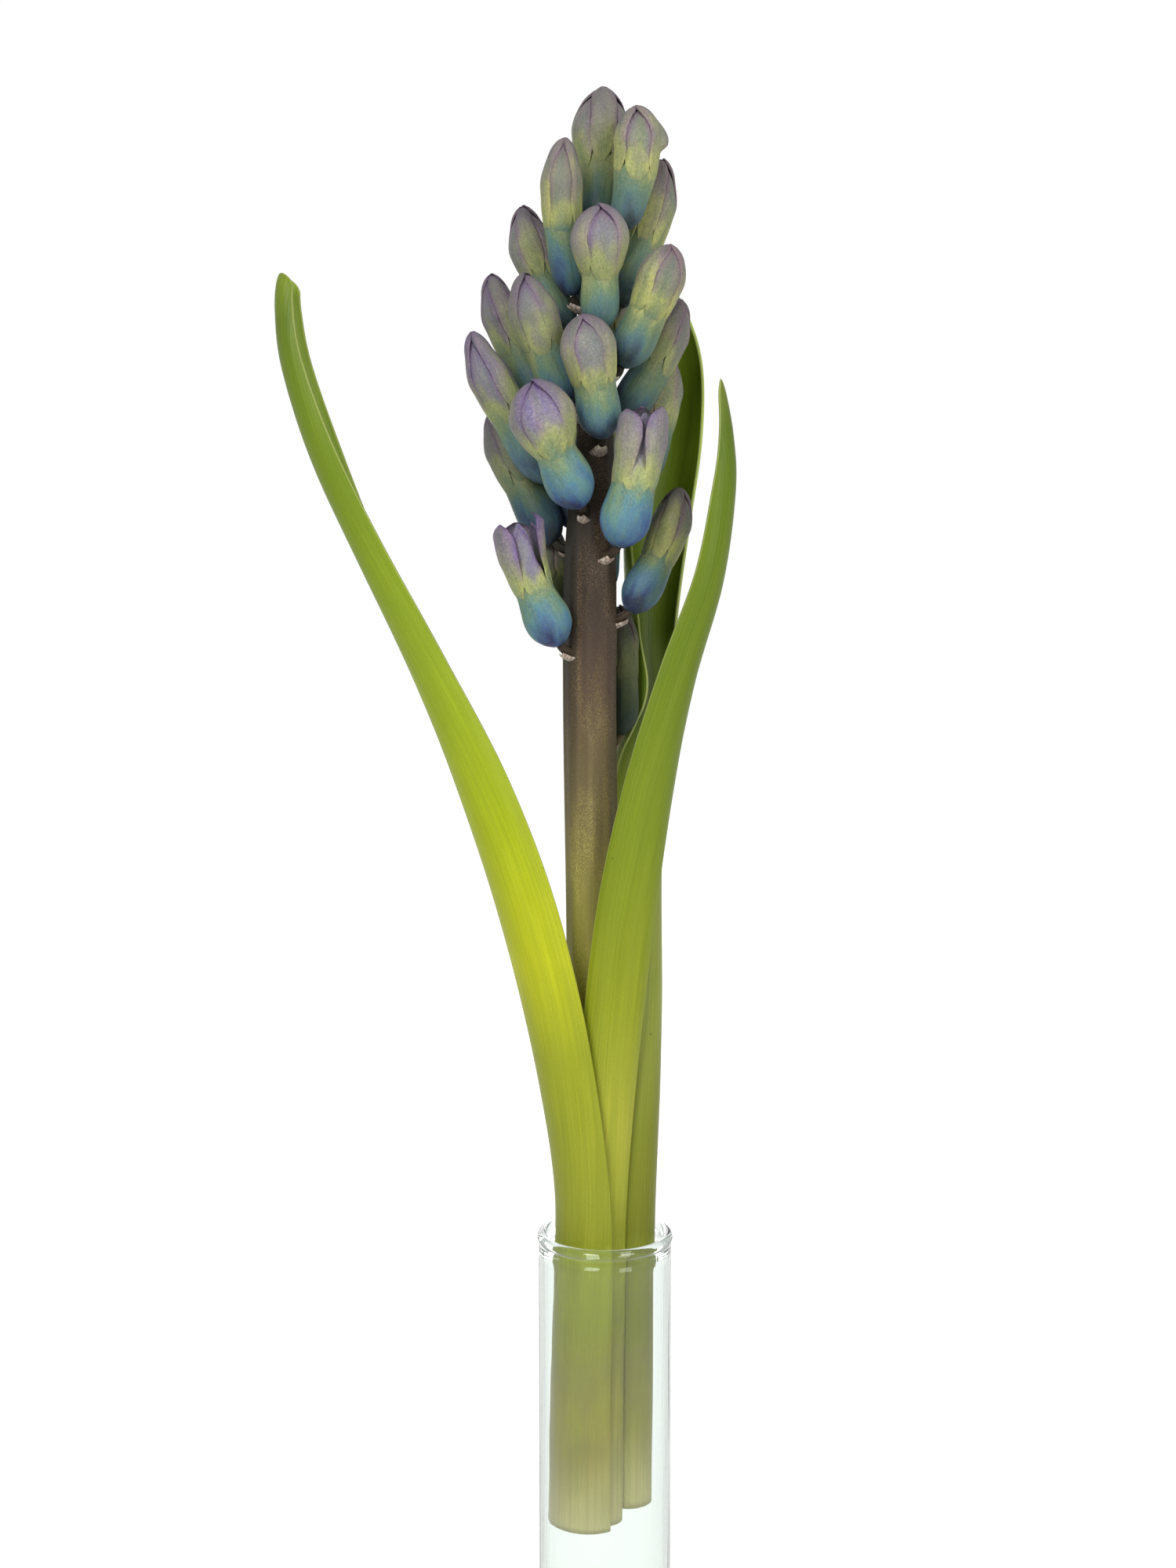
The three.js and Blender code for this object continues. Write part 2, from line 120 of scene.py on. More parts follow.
def new_piece(name, points, faces, values=None):
    """A smooth mesh object at the origin. values holds a float or a vector for each point."""
    mesh = bpy.data.meshes.new(name)
    mesh.from_pydata(np.asarray(points).tolist(), [], faces)
    mesh.update()
    mesh.shade_smooth()
    for label, data in (values or {}).items():
        data = np.asarray(data, dtype=float)
        kind, field = ("FLOAT", "value") if data.ndim == 1 else ("FLOAT_VECTOR", "vector")
        mesh.attributes.new(label, kind, "POINT").data.foreach_set(field, data.ravel())
    return new_object(name, mesh)


def stacked(*columns):
    """Places from their coordinates, which are spread to one shape."""
    return np.stack(np.broadcast_arrays(*columns), axis=-1)


def ring_faces(rings, sides):
    """Quads between rings of points that each close on themselves."""
    ring, side = np.meshgrid(np.arange(rings - 1), np.arange(sides), indexing="ij")
    here = ring * sides + side
    beside = ring * sides + (side + 1) % sides
    return stacked(here, beside, beside + sides, here + sides).reshape(-1, 4).tolist()


def capped_faces(rings, sides):
    """Faces of a closed skin of rings, whose last two points close its foot and its top."""
    faces = ring_faces(rings, sides)
    last, foot, top = (rings - 1) * sides, rings * sides, rings * sides + 1
    for side in range(sides):
        beside = (side + 1) % sides
        faces += [[beside, side, foot], [last + side, last + beside, top]]
    return faces


def arc(centre_x, centre_z, radius, start, end, steps):
    """Points on an arc, from one angle to another in degrees."""
    angles = np.radians(np.linspace(start, end, steps))
    return stacked(centre_x + radius * np.cos(angles), centre_z + radius * np.sin(angles))


def lathe(name, profile, sides):
    """A solid of revolution. The profile's first and last points lie on the axis."""
    turns = np.linspace(0, 2 * math.pi, sides, endpoint=False)
    reach, height = profile[1:-1, :1], profile[1:-1, 1:]
    rings = stacked(reach * np.cos(turns), reach * np.sin(turns), height)
    ends = [[0, 0, profile[0, 1]], [0, 0, profile[-1, 1]]]
    return new_piece(name, np.concatenate([rings.reshape(-1, 3), ends]), capped_faces(len(rings), sides))


def glass_tube():
    inner = TUBE_RADIUS - TUBE_WALL
    bead = TUBE_RADIUS + BEAD_PROUD - BEAD_RADIUS
    meets = [math.degrees(math.acos((reach - bead) / BEAD_RADIUS)) for reach in (TUBE_RADIUS, inner)]
    floor = TUBE_BASE + TUBE_CORNER
    wall = np.linspace(TUBE_CORNER, TUBE_HEIGHT - BEAD_RADIUS, WALL_RINGS)[1:-1, None]
    inside = np.linspace(TUBE_HEIGHT - BEAD_RADIUS, floor, WALL_RINGS)[1:-1, None]
    profile = np.concatenate([
        [[0, 0], [TUBE_RADIUS * FLAT_SHARE, 0]],
        arc(TUBE_RADIUS - TUBE_CORNER, TUBE_CORNER, TUBE_CORNER, -90, 0, CORNER_STEPS),
        np.hstack([0 * wall + TUBE_RADIUS, wall]),
        arc(bead, TUBE_HEIGHT, BEAD_RADIUS, -meets[0], 360 - meets[1], BEAD_STEPS),
        np.hstack([0 * inside + inner, inside]),
        arc(inner - TUBE_CORNER, floor, TUBE_CORNER, 0, -90, CORNER_STEPS),
        [[inner * FLAT_SHARE, TUBE_BASE], [0, TUBE_BASE]],
    ])
    return lathe("glass_tube_clear", profile, TUBE_SIDES)


def clear_glass():
    material, tree, output = new_material("clear_glass")
    waves = drawn_noise(tree, object_place(tree), DRAWN_LENGTH, DRAWN_FINENESS, 2.0)
    glass = add_node(tree, "ShaderNodeBsdfPrincipled", {
        "Base Color": srgb(250, 253, 251),
        "Roughness": 0.01,
        "IOR": 1.47,
        "Specular IOR Level": 0.08,
        "Transmission Weight": 1.0,
        "Normal": bumped(tree, waves, 0.25, 0.0002),
    })
    tint = add_node(tree, "ShaderNodeVolumeAbsorption", {"Color": GLASS_TINT, "Density": GLASS_TINT_DENSITY})
    tree.links.new(tint.outputs[0], output.inputs["Volume"])
    clear = add_node(tree, "ShaderNodeBsdfTransparent", {"Color": srgb(238, 246, 240)})
    ray = add_node(tree, "ShaderNodeLightPath")
    lets_light = add_node(tree, "ShaderNodeMixShader",
                          {0: ray.outputs["Is Shadow Ray"], 1: glass.outputs[0], 2: clear.outputs[0]})
    tree.links.new(lets_light.outputs[0], output.inputs["Surface"])
    return material


tube = glass_tube()
tube.data.materials.append(clear_glass())
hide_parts("glass_tube")
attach(tube, "root")

# ---- Scape --------------------------------------------------------------------------------
# The flower's own leafless stalk, solid and fleshy, cut square at the foot. Shallow ribs run up
# it. The skin is brown-purple above and olive green below, with rows of fine yellow-green pores.
# Geometry Nodes sweep its ribbed section up its course.

# Places on the axis, and the radius at each, in millimetres.
SCAPE_COURSE = [
    ((-3.0, 0, 36.5), 4.5), ((-2.4, 0, 70), 4.6), ((-2.2, 0, 110), 4.7), ((-2.4, 0, 150), 4.75),
    ((-2.9, 0, 190), 4.8), ((-2.8, 0, 215), 4.7), ((-2.4, 0, 232), 3.9), ((-2.1, 0, 250), 3.1),
    ((-2.2, 0, 266), 2.4), ((-2.0, 0, 274), 1.7),
]
SCAPE_TOP = SCAPE_COURSE[-1][0][2]
SCAPE_STEM = {"Rings": 220, "Sides": 72, "Ribs": 8, "Rib depth": 0.028}
SCAPE_HUES_FROM = 34 * MM
# The dark top stops hold the skin's own brown-purple and painted shade where the florets crowd round the
# scape.
SCAPE_HUES_AND_TOP_SHADE = [
    (0.0, (190, 188, 130)), (0.3, (144, 142, 60)), (0.48, (148, 142, 68)), (0.56, (118, 106, 68)),
    (0.66, (82, 66, 52)), (0.74, (42, 35, 28)), (1.0, (26, 28, 20)),
]
PORE_HUES = [
    (0.0, (205, 205, 150)), (0.3, (198, 192, 86)), (0.5, (196, 186, 92)), (0.6, (160, 146, 90)),
    (0.7, (124, 102, 72)), (1.0, (60, 56, 42)),
]
# Each pattern's fineness per metre, its shortness along each axis, its detail, and the noise
# values at which it starts and is full.
PORE_ROWS = (7000.0, (1, 1, 0.6), 3.0, 0.44, 0.66)
PORE_PATCHES = (330.0, (1, 1, 0.25), 3.0, 0.38, 0.64)
SCAPE_DUSK = (1100.0, (1, 1, 0.05), 2.0, 0.3, 0.7)
# Where painted shade darkens the scape's left side: how far left of its axis, and between which heights.
LEFT_SHADE_REACH = (4.9 * MM, 5.5 * MM)
LEFT_SHADE_HEIGHTS = (150 * MM, 215 * MM)


def along(pairs, place):
    """Values of a list of (place, value) pairs, along a smooth curve through them."""
    at, value = (np.array(column, dtype=float) for column in zip(*pairs))
    place = np.clip(place, at[0], at[-1])
    upper = np.clip(np.searchsorted(at, place), 1, len(at) - 1)
    lower = upper - 1
    order = np.arange(len(at))
    before, after = np.maximum(order - 1, 0), np.minimum(order + 1, len(at) - 1)
    slope = (value[after] - value[before]) / (at[after] - at[before])
    span = at[upper] - at[lower]
    share = (place - at[lower]) / span
    level = value[lower] * (2 * share**3 - 3 * share**2 + 1) + value[upper] * (3 * share**2 - 2 * share**3)
    lean = slope[lower] * (share**3 - 2 * share**2 + share) + slope[upper] * (share**3 - share**2)
    return level + span * lean


def scape_axis(height):
    """The point on the scape's axis at a height in millimetres."""
    sideways = along([(place[2], place[0]) for place, _ in SCAPE_COURSE], height)
    forward = along([(place[2], place[1]) for place, _ in SCAPE_COURSE], height)
    return stacked(sideways, forward, height)


def scape_radius(height):
    return along([(place[2], radius) for place, radius in SCAPE_COURSE], height)


def math_node(tree, operation, *values):
    """A maths node's output."""
    return add_node(tree, "ShaderNodeMath", dict(enumerate(values)), operation=operation).outputs[0]


def scaled(tree, value, factor, offset):
    """A value times a factor, plus an offset."""
    return math_node(tree, "MULTIPLY_ADD", value, factor, offset)


def product(tree, first, *others):
    """Values multiplied together."""
    for value in others:
        first = math_node(tree, "MULTIPLY", first, value)
    return first


def new_tree(name, kind, inputs, outputs):
    """A node group with named sockets, given as name to (socket type, value) or to a socket type."""
    tree = bpy.data.node_groups.new(name, kind)
    for label, (socket_type, value) in inputs.items():
        socket = tree.interface.new_socket(label, in_out="INPUT", socket_type=socket_type)
        if value is not None:
            socket.default_value = value
    for label, socket_type in outputs.items():
        tree.interface.new_socket(label, in_out="OUTPUT", socket_type=socket_type)
    return tree, add_node(tree, "NodeGroupInput").outputs, add_node(tree, "NodeGroupOutput")


def new_geometry_tree(name, inputs):
    """A Geometry Nodes tree with named inputs, given as name to (socket type, value)."""
    inputs = {"Geometry": ("NodeSocketGeometry", None), **inputs, "Skin": ("NodeSocketMaterial", None)}
    return new_tree(name, "GeometryNodeTree", inputs, {"Geometry": "NodeSocketGeometry"})


def named_value(tree, name, kind="FLOAT"):
    """A value that the mesh holds for each point, for a Geometry Nodes tree."""
    made = add_node(tree, "GeometryNodeInputNamedAttribute", {"Name": name}, data_type=kind)
    return made.outputs["Attribute"]


def finish_tree(tree, geometry, skin, output):
    """Ends a Geometry Nodes tree in a plain mesh that wears the skin."""
    coated = add_node(tree, "GeometryNodeSetMaterial", {"Geometry": geometry, "Material": skin})
    real = add_node(tree, "GeometryNodeRealizeInstances", {"Geometry": coated.outputs[0]})
    tree.links.new(real.outputs[0], output.inputs["Geometry"])
    return tree


def grown(piece, tree, values):
    """The piece turned into a plain mesh by a Geometry Nodes tree, whose inputs are set by name."""
    modifier = piece.modifiers.new(tree.name, "NODES")
    modifier.node_group = tree
    for item in tree.interface.items_tree:
        if item.name in values:
            modifier[item.identifier] = values[item.name]
    depsgraph = bpy.context.evaluated_depsgraph_get()
    mesh = bpy.data.meshes.new_from_object(piece.evaluated_get(depsgraph), depsgraph=depsgraph)
    mesh.name = piece.name
    piece.modifiers.clear()
    piece.data = mesh
    mesh.shade_smooth()
    return piece


def ribbed_stem_tree():
    """Sweeps a ribbed round section along each line of the mesh, as thick as its stem_radius says."""
    tree, given, output = new_geometry_tree("ribbed_stem", {
        "Rings": ("NodeSocketInt", 8),
        "Sides": ("NodeSocketInt", 12),
        "Ribs": ("NodeSocketInt", 5),
        "Rib depth": ("NodeSocketFloat", 0.02),
    })
    lines = add_node(tree, "GeometryNodeMeshToCurve", {"Mesh": given["Geometry"]})
    stem = add_node(tree, "GeometryNodeResampleCurve", {"Curve": lines.outputs[0], "Count": given["Rings"]})
    circle = add_node(tree, "GeometryNodeCurvePrimitiveCircle", {"Resolution": given["Sides"], "Radius": 1.0})
    share = add_node(tree, "GeometryNodeSplineParameter").outputs["Factor"]
    turns = product(tree, share, 2 * math.pi)
    crest = math_node(tree, "COSINE", product(tree, turns, given["Ribs"]))
    proud = scaled(tree, crest, given["Rib depth"], 1.0)
    place = add_node(tree, "GeometryNodeInputPosition")
    shaped = add_node(tree, "ShaderNodeVectorMath", {0: place.outputs[0], "Scale": proud}, operation="SCALE")
    section = add_node(tree, "GeometryNodeSetPosition",
                       {"Geometry": circle.outputs["Curve"], "Position": shaped.outputs[0]})
    swept = add_node(tree, "GeometryNodeCurveToMesh", {
        "Curve": stem.outputs[0],
        "Profile Curve": section.outputs[0],
        "Scale": named_value(tree, "stem_radius"),
        "Fill Caps": True,
    })
    return finish_tree(tree, swept.outputs[0], given["Skin"], output)


def stem_lines(name, lines, radii):
    """A mesh of open lines of points, in millimetres, with the stem's radius at each point."""
    starts = np.cumsum([0] + [len(line) for line in lines[:-1]])
    edges = [[start + i, start + i + 1] for start, line in zip(starts, lines) for i in range(len(line) - 1)]
    mesh = bpy.data.meshes.new(name)
    mesh.from_pydata((np.concatenate(lines) * MM).tolist(), edges, [])
    mesh.attributes.new("stem_radius", "FLOAT", "POINT").data.foreach_set("value", np.concatenate(radii) * MM)
    return new_object(name, mesh)


def streaks_group():
    """Noise drawn out along one axis, for fibres, veins and mottling. Value runs from 0 to 1."""
    sockets = {label: ("NodeSocketFloat", None) for label in ("Fineness", "Detail", "Low", "High")}
    sockets.update({label: ("NodeSocketVector", None) for label in ("Vector", "Shortness")})
    tree, given, output = new_tree("streaks", "ShaderNodeTree", sockets, {"Value": "NodeSocketFloat"})
    noise = drawn_noise(tree, *(given[label] for label in ("Vector", "Shortness", "Fineness", "Detail")))
    tree.links.new(mask(tree, noise, given["Low"], given["High"]), output.inputs["Value"])
    return tree


def streaks(tree, *values):
    """The streaks group placed in a material with its own values. Gives its Value output."""
    inputs = dict(zip(("Vector", "Fineness", "Shortness", "Detail", "Low", "High"), values))
    return add_node(tree, "ShaderNodeGroup", inputs, node_tree=STREAKS).outputs["Value"]


def mask(tree, value, low, high):
    """A soft step from 0 at low to 1 at high."""
    made = add_node(tree, "ShaderNodeMapRange", {"Value": value, "From Min": low, "From Max": high},
                    interpolation_type="SMOOTHSTEP")
    return made.outputs["Result"]


def mixed(tree, share, under, over):
    """Two colours mixed by a share."""
    return add_node(tree, "ShaderNodeMix", {0: share, 6: under, 7: over}, data_type="RGBA").outputs[2]


def painted(tree, under, colour, *shares):
    """A colour with an sRGB colour painted over it, as thick as the product of the shares."""
    return mixed(tree, product(tree, *shares), under, srgb(*colour))


def ramp(tree, share, stops):
    """A colour that changes with a share, given as (place, sRGB colour) pairs."""
    made = add_node(tree, "ShaderNodeValToRGB", {"Fac": share})
    bar = made.color_ramp
    while len(bar.elements) < len(stops):
        bar.elements.new(1.0)
    for element, (place, colour) in zip(bar.elements, stops):
        element.position = place
        element.color = srgb(*colour)
    return made.outputs["Color"]


def plant_skin(tree, output, **sockets):
    """A waxy, slightly see-through plant surface."""
    settings = {"Specular IOR Level": 0.2, "Subsurface Weight": 0.1, "Subsurface Scale": 0.001}
    settings["Subsurface Radius"] = (0.6, 1.0, 0.3)
    settings.update({label.replace("_", " "): value for label, value in sockets.items()})
    shader = add_node(tree, "ShaderNodeBsdfPrincipled", settings)
    tree.links.new(shader.outputs[0], output.inputs["Surface"])


def scape_skin():
    material, tree, output = new_material("scape_skin")
    place = object_place(tree)
    across, _, height = add_node(tree, "ShaderNodeSeparateXYZ", {0: place}).outputs
    share = add_node(tree, "ShaderNodeMapRange", {
        "Value": height,
        "From Min": SCAPE_HUES_FROM,
        "From Max": SCAPE_TOP * MM,
    }).outputs["Result"]
    rows = streaks(tree, place, *PORE_ROWS)
    patches = scaled(tree, streaks(tree, place, *PORE_PATCHES), 0.6, 0.25)
    skin, pores = ramp(tree, share, SCAPE_HUES_AND_TOP_SHADE), ramp(tree, share, PORE_HUES)
    skin = mixed(tree, product(tree, rows, patches), skin, pores)
    skin = painted(tree, skin, (58, 46, 44), streaks(tree, place, *SCAPE_DUSK), 0.24)
    # Painted shade down the scape's left side, between the given heights.
    left_shade = mask(tree, product(tree, across, -1.0), *LEFT_SHADE_REACH)
    skin = painted(tree, skin, (34, 34, 26), left_shade, mask(tree, height, *LEFT_SHADE_HEIGHTS), 0.7)
    plant_skin(tree, output, Base_Color=skin, Roughness=0.52, Normal=bumped(tree, rows, 0.35, 0.00012))
    return material


STREAKS = streaks_group()
RIBBED_STEM = ribbed_stem_tree()
SCAPE_SKIN = scape_skin()

scape_heights = np.linspace(SCAPE_COURSE[0][0][2], SCAPE_TOP, SCAPE_STEM["Rings"])
scape = stem_lines("scape", [scape_axis(scape_heights)], [scape_radius(scape_heights)])
grown(scape, RIBBED_STEM, {**SCAPE_STEM, "Skin": SCAPE_SKIN})
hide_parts("flower_stalk")
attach(scape, "root")

# ---- Florets ------------------------------------------------------------------------------
# Each floret is a fleshy tube, swollen round the ovary at its foot, that splits into six petals.
# Three outer petals overlap three inner ones and close over them at the tip. Each is a blade of
# its own with a rounded margin. Two of the lowest florets have begun to open.

# The middle of the ovary and the tip, the radii of the ovary and of the belly, where an inner petal
# faces, in degrees from the way out, the waist's share of the ovary, how pointed the bud is, and
# from 0 to 1 how lilac its tip, how blue its foot and how golden its middle are, and its painted shade.
FLORET_KEYS = ("base", "tip", "ovary", "belly", "turn", "pinch", "taper", "lilac", "blue", "gold", "dusk")
FLORET_ROWS = [
    ((-1.9, 2.2, 279.8), (-0.4, 3.4, 302.6), 3.1, 5.3, -110, 1.15, 0.3, 0.3, 0.15, 0.35, 0.25),
    ((3.9, -3.0, 278.8), (5.2, -6.0, 296.2), 3.2, 4.2, -60, 1.18, 0.2, 0.22, 0.3, 0.8, 0),
    ((-6.7, -2.5, 267.0), (-7.2, -6.4, 291.0), 3.1, 3.8, 60, 1.08, 0.6, 0.18, 0.7, 0.9, 0.18),
    ((3.6, 4.2, 266.3), (10.5, 5.0, 290.1), 3.2, 4.1, 50, 1.08, 0.7, 0.1, 0.1, 1, 0.08),
    ((-1.1, -7.3, 260.4), (-1.4, -12.6, 277.4), 3.5, 5.1, 0, 0.94, 0.1, 0.5, 0.35, 0.3, 0),
    ((4.6, -5.6, 254.2), (11.2, -9.4, 271.6), 3.8, 4.3, -26, 0.94, 0.3, 0.1, 0.3, 1, 0.1),
    ((-8.0, 3.4, 261.0), (-15.3, 4.0, 281.4), 3.3, 4.3, 60, 0.94, 0.9, 0.4, 0.3, 0.45, 0.22),
    ((-1.1, -8.4, 241.5), (-4.4, -14.4, 258.2), 4.0, 4.9, -8, 0.94, 0.1, 0.45, 0.55, 0.8, 0),
    ((-8.1, -5.2, 247.5), (-14.3, -9.6, 266.2), 3.9, 4.4, 38, 0.94, 0.7, 0.55, 0.7, 0.35, 0.25),
    ((-11.8, 3.0, 247.4), (-21.2, 3.6, 269.2), 3.9, 4.0, 60, 0.94, 0.9, 0.6, 0.5, 0.15, 0.4),
    ((-12.0, -1.2, 234.0), (-24.0, -4.0, 256.9), 4.0, 4.0, 60, 0.88, 0.9, 0.8, 0.5, 0.3, 0.18),
    ((-6.3, -8.4, 229.4), (-12.9, -15.4, 246.6), 4.6, 5.9, 19, 0.82, 0.3, 0.95, 0.9, 0.6, 0),
    ((-11.5, 3.9, 223.6), (-20.8, 5.8, 245.2), 4.1, 4.1, 60, 0.85, 0.7, 0.35, 0.9, 0, 0.7),
    ((-10.3, -6.0, 204.8), (-16.2, -9.6, 222.8), 4.4, 4.1, 53, 0.8, 0.3, 0.9, 0.9, 0.6, 0),
    ((3.4, -8.6, 222.9), (6.6, -12.6, 242.2), 4.7, 4.4, -30, 0.85, 0.3, 0.7, 1, 0.65, 0),
    ((5.0, 3.2, 246.0), (14.0, 1.6, 264.4), 3.8, 3.8, 60, 0.94, 0.8, 0.2, 0.4, 0.4, 0.35),
    ((7.2, 7.8, 234.8), (11.4, 10.4, 256.6), 4.0, 4.1, 60, 0.94, 0.6, 0.12, 0.3, 0.5, 0.25),
    ((6.4, 1.0, 210.4), (13.5, -1.0, 229.6), 3.8, 3.7, -45, 0.85, 0.5, 0.06, 0.7, 1, 0.1),
    ((-9.0, 6.2, 206.4), (-10.4, 9.8, 224.0), 3.9, 4.0, 0, 0.94, 0.5, 0.1, 0.3, 0.1, 0.35),
    ((2.8, 6.9, 187.6), (2.6, 8.4, 208.4), 3.6, 3.5, 0, 0.94, 0.5, 0.02, 0, 0.4, 0.85),
]
# Petals that differ from the rest of their floret, by their order round it. Inner petals are even.
FLARED = {1: {"flare": 1.3}}
WIDE_LENS = {
    0: {"width": 1.12, "cover": 0.8},
    1: {"width": 0.8},
    5: {"width": 0.8},
}
PARTED_LOW = {
    0: {"turn": 12, "width": 1.2, "end": 0.97, "sink": 0.9},
    1: {"turn": 14, "width": 0.62, "end": 1.07, "spread": 0.4},
    3: {"end": 1.0, "spread": 0.1},
    5: {"width": 1.12, "end": 0.98, "spread": 0.14},
}
PARTED_HIGH = {
    0: {"width": 1.5, "end": 0.95, "sink": 1.4},
    1: {"turn": 4, "width": 1.24, "end": 1.01, "spread": 0.08},
    3: {"end": 1.04, "spread": 0.1, "lean": 1.2},
    5: {"turn": -3, "width": 1.24, "end": 0.98, "spread": 0.08},
}
# Florets that differ from the rest, by number.
FLORET_WAYS = {
    2: {"petals": FLARED},
    12: {"petals": WIDE_LENS, "bow": 1.8},
    14: {"petals": PARTED_LOW, "open": 0.7},
    15: {"petals": PARTED_HIGH, "open": 0.4},
    20: {"bow": 0.4},
}
FLORETS = [dict(zip(FLORET_KEYS, row)) for row in FLORET_ROWS]
for number, way in FLORET_WAYS.items():
    FLORETS[number - 1].update(way)

BACK_ROWS = [(80.5, (214, 233, 252.5)), (113, (226.5, 245.5, 267.5))]
BACK_TWIST = -5
BACK_FOOT = (9.3, 5.9)
BACK_TIP = (17.0, 11.0)
BACK_RISE = 17.4
# The last value here is how much painted shade darkens the back rows.
BACK_PINCH, BACK_TAPER, BACK_GOLD, BACK_PAINTED_SHADE = 0.94, 0.3, 0.5, 0.3

for azimuth, heights in BACK_ROWS:
    for step, height in enumerate(heights):
        heading = math.radians(azimuth + BACK_TWIST * step)
        outward = np.array([math.cos(heading), math.sin(heading), 0])
        share = step / len(heights)
        foot_reach, tip_reach = (low + (high - low) * share for low, high in (BACK_FOOT, BACK_TIP))
        top = height + BACK_RISE
        base = scape_axis(height) + foot_reach * outward
        tip = scape_axis(top) * (1, 1, 0) + (0, 0, top) + tip_reach * outward
        radii = (3.8 - 0.7 * share, 3.9 - 0.2 * share)
        hues = (0.5 - 0.2 * share, 0.8 - 0.5 * share, BACK_GOLD, BACK_PAINTED_SHADE)
        FLORETS.append(dict(zip(FLORET_KEYS, (base, tip, *radii, 0, BACK_PINCH, BACK_TAPER, *hues))))

PETAL_COLUMNS = 25
PETAL_ROWS = 44
THIRD_TURN = 120
OUTER_START = 0.345
INNER_START = 0.325
USUAL_BOW = 1.2
# Half the angle that a petal spans, in degrees, at shares of the floret's length.
OUTER_WIDTH = [(0.36, 7), (0.4, 14), (0.44, 20), (0.5, 26), (0.56, 29), (0.62, 29), (0.7, 28),
               (0.78, 31), (0.86, 38), (0.93, 53), (1, 70)]
OPEN_OUTER_WIDTH = [(0.36, 8), (0.4, 18), (0.44, 26), (0.48, 33), (0.56, 39), (0.66, 44), (0.78, 47),
                    (0.88, 44), (0.95, 32), (1, 5)]
INNER_WIDTH = [(0.34, 10), (0.38, 20), (0.42, 28), (0.47, 33), (0.54, 36), (0.65, 42), (0.8, 47),
               (0.93, 50), (1, 60)]
OPEN_INNER_WIDTH = [(0.34, 10), (0.38, 20), (0.42, 27), (0.47, 29), (0.6, 28), (0.75, 27), (0.9, 22), (1, 4)]
# Millimetres: a petal's thickness, how deep its foot sinks in the tube, how proud of the bud its
# blade, its lower corners and its hooded tip lie, and how far its margin dips.
PETAL_THICK = 0.5
OUTER_SUNK, OUTER_PROUD, OUTER_CORNER, OUTER_HOOD = 0.16, 0.17, 0.12, 0.22
OUTER_MARGIN_DIP, OUTER_TIP_TUCK = 0.1, 0.13
INNER_SUNK, INNER_PROUD, INNER_CORNER = 0.14, 0.12, 0.06
COVERED_DIP, COVERED_TIP_FILL, INNER_TIP_DIP = 0.16, 0.11, 0.02
OPEN_CORNER, OPEN_TIP_DIP, OPEN_INNER_DIP, OPEN_SPREAD, OPEN_TIP_CURL = 0.1, 0.08, 0.45, 3.2, 0.9
RIM_REACH = 0.1
LEAST_RADIUS = 0.14
# Millimetres in the pattern's own space, which is the petal laid out flat.
GRAIN_PER_DEGREE = 0.07
GRAIN_INSIDE = 3.0
GRAIN_STRETCH = 1.2
PERIANTH_SIDES = 66
PERIANTH_ROWS = 44
PERIANTH_TOP = 0.68


def smooth(value, low, high):
    """0 below low and 1 above high, with a soft step between."""
    share = np.clip((value - low) / (high - low), 0, 1)
    return share * share * (3 - 2 * share)


def hump(value, rise_from, rise_to, fall_from, fall_to):
    """A soft step up to 1 and another back down to 0."""
    return smooth(value, rise_from, rise_to) * (1 - smooth(value, fall_from, fall_to))


def unit(vectors):
    return vectors / np.linalg.norm(vectors, axis=-1, keepdims=True)


def bent(share, start, control, end):
    """Places on a bent line, at shares of it."""
    return (1 - share) ** 2 * start + 2 * share * (1 - share) * control + share**2 * end


def floret_line(floret):
    """Foot, control point and tip of the bent line up a floret's middle, and its way out."""
    base, tip = np.array(floret["base"], dtype=float), np.array(floret["tip"], dtype=float)
    outward = unit((base - scape_axis(base[2])) * (1, 1, 0))
    control = (base + tip) / 2 + outward * floret.get("bow", USUAL_BOW) * 2
    foot = base + unit(base - control) * floret["ovary"]
    return foot, control, tip, outward


def floret_length(floret):
    """A floret's length in its pattern's space."""
    return np.linalg.norm(np.array(floret["tip"]) - floret["base"]) * GRAIN_STRETCH


def bud_radius(floret, share):
    """Radius of a bud at each share of its length: ovary, waist, belly and blunt tip."""
    ovary, belly = floret["ovary"], floret["belly"]
    waist = ovary * floret["pinch"]
    closed = along([
        (0, 0.3 * ovary), (0.04, 0.62 * ovary), (0.11, 0.92 * ovary), (0.19, ovary),
        (0.29, 0.5 * (ovary + waist)), (0.39, waist), (0.5, 0.5 * (waist + belly)), (0.61, 0.95 * belly),
        (0.7, belly), (0.79, 0.94 * belly), (0.87, 0.77 * belly), (0.93, 0.53 * belly),
        (0.975, 0.28 * belly), (1, 0.09 * belly),
    ], share)
    if "open" not in floret:
        return closed * (1 - 0.24 * floret["taper"] * smooth(share, 0.64, 0.86))
    blunt = along([(0, 1), (0.7, 1), (0.85, 0.95), (0.94, 0.86), (1, 0.74)], share) * belly
    return closed + (blunt - closed) * smooth(share, 0.66, 0.72)


def floret_place(line, share, angle, radius):
    """Points round a floret's line. angle is in degrees from the way out, radius in millimetres."""
    foot, control, tip, outward = line
    parts = np.broadcast_arrays(share, np.radians(angle), radius)
    share, angle, radius = (part[..., None] for part in parts)
    middle = bent(share, foot, control, tip)
    ahead = unit((1 - share) * (control - foot) + share * (tip - control))
    right = unit(outward - ahead * (ahead @ outward)[..., None])
    aside = np.cross(ahead, right)
    return middle + radius * (right * np.cos(angle) + aside * np.sin(angle))


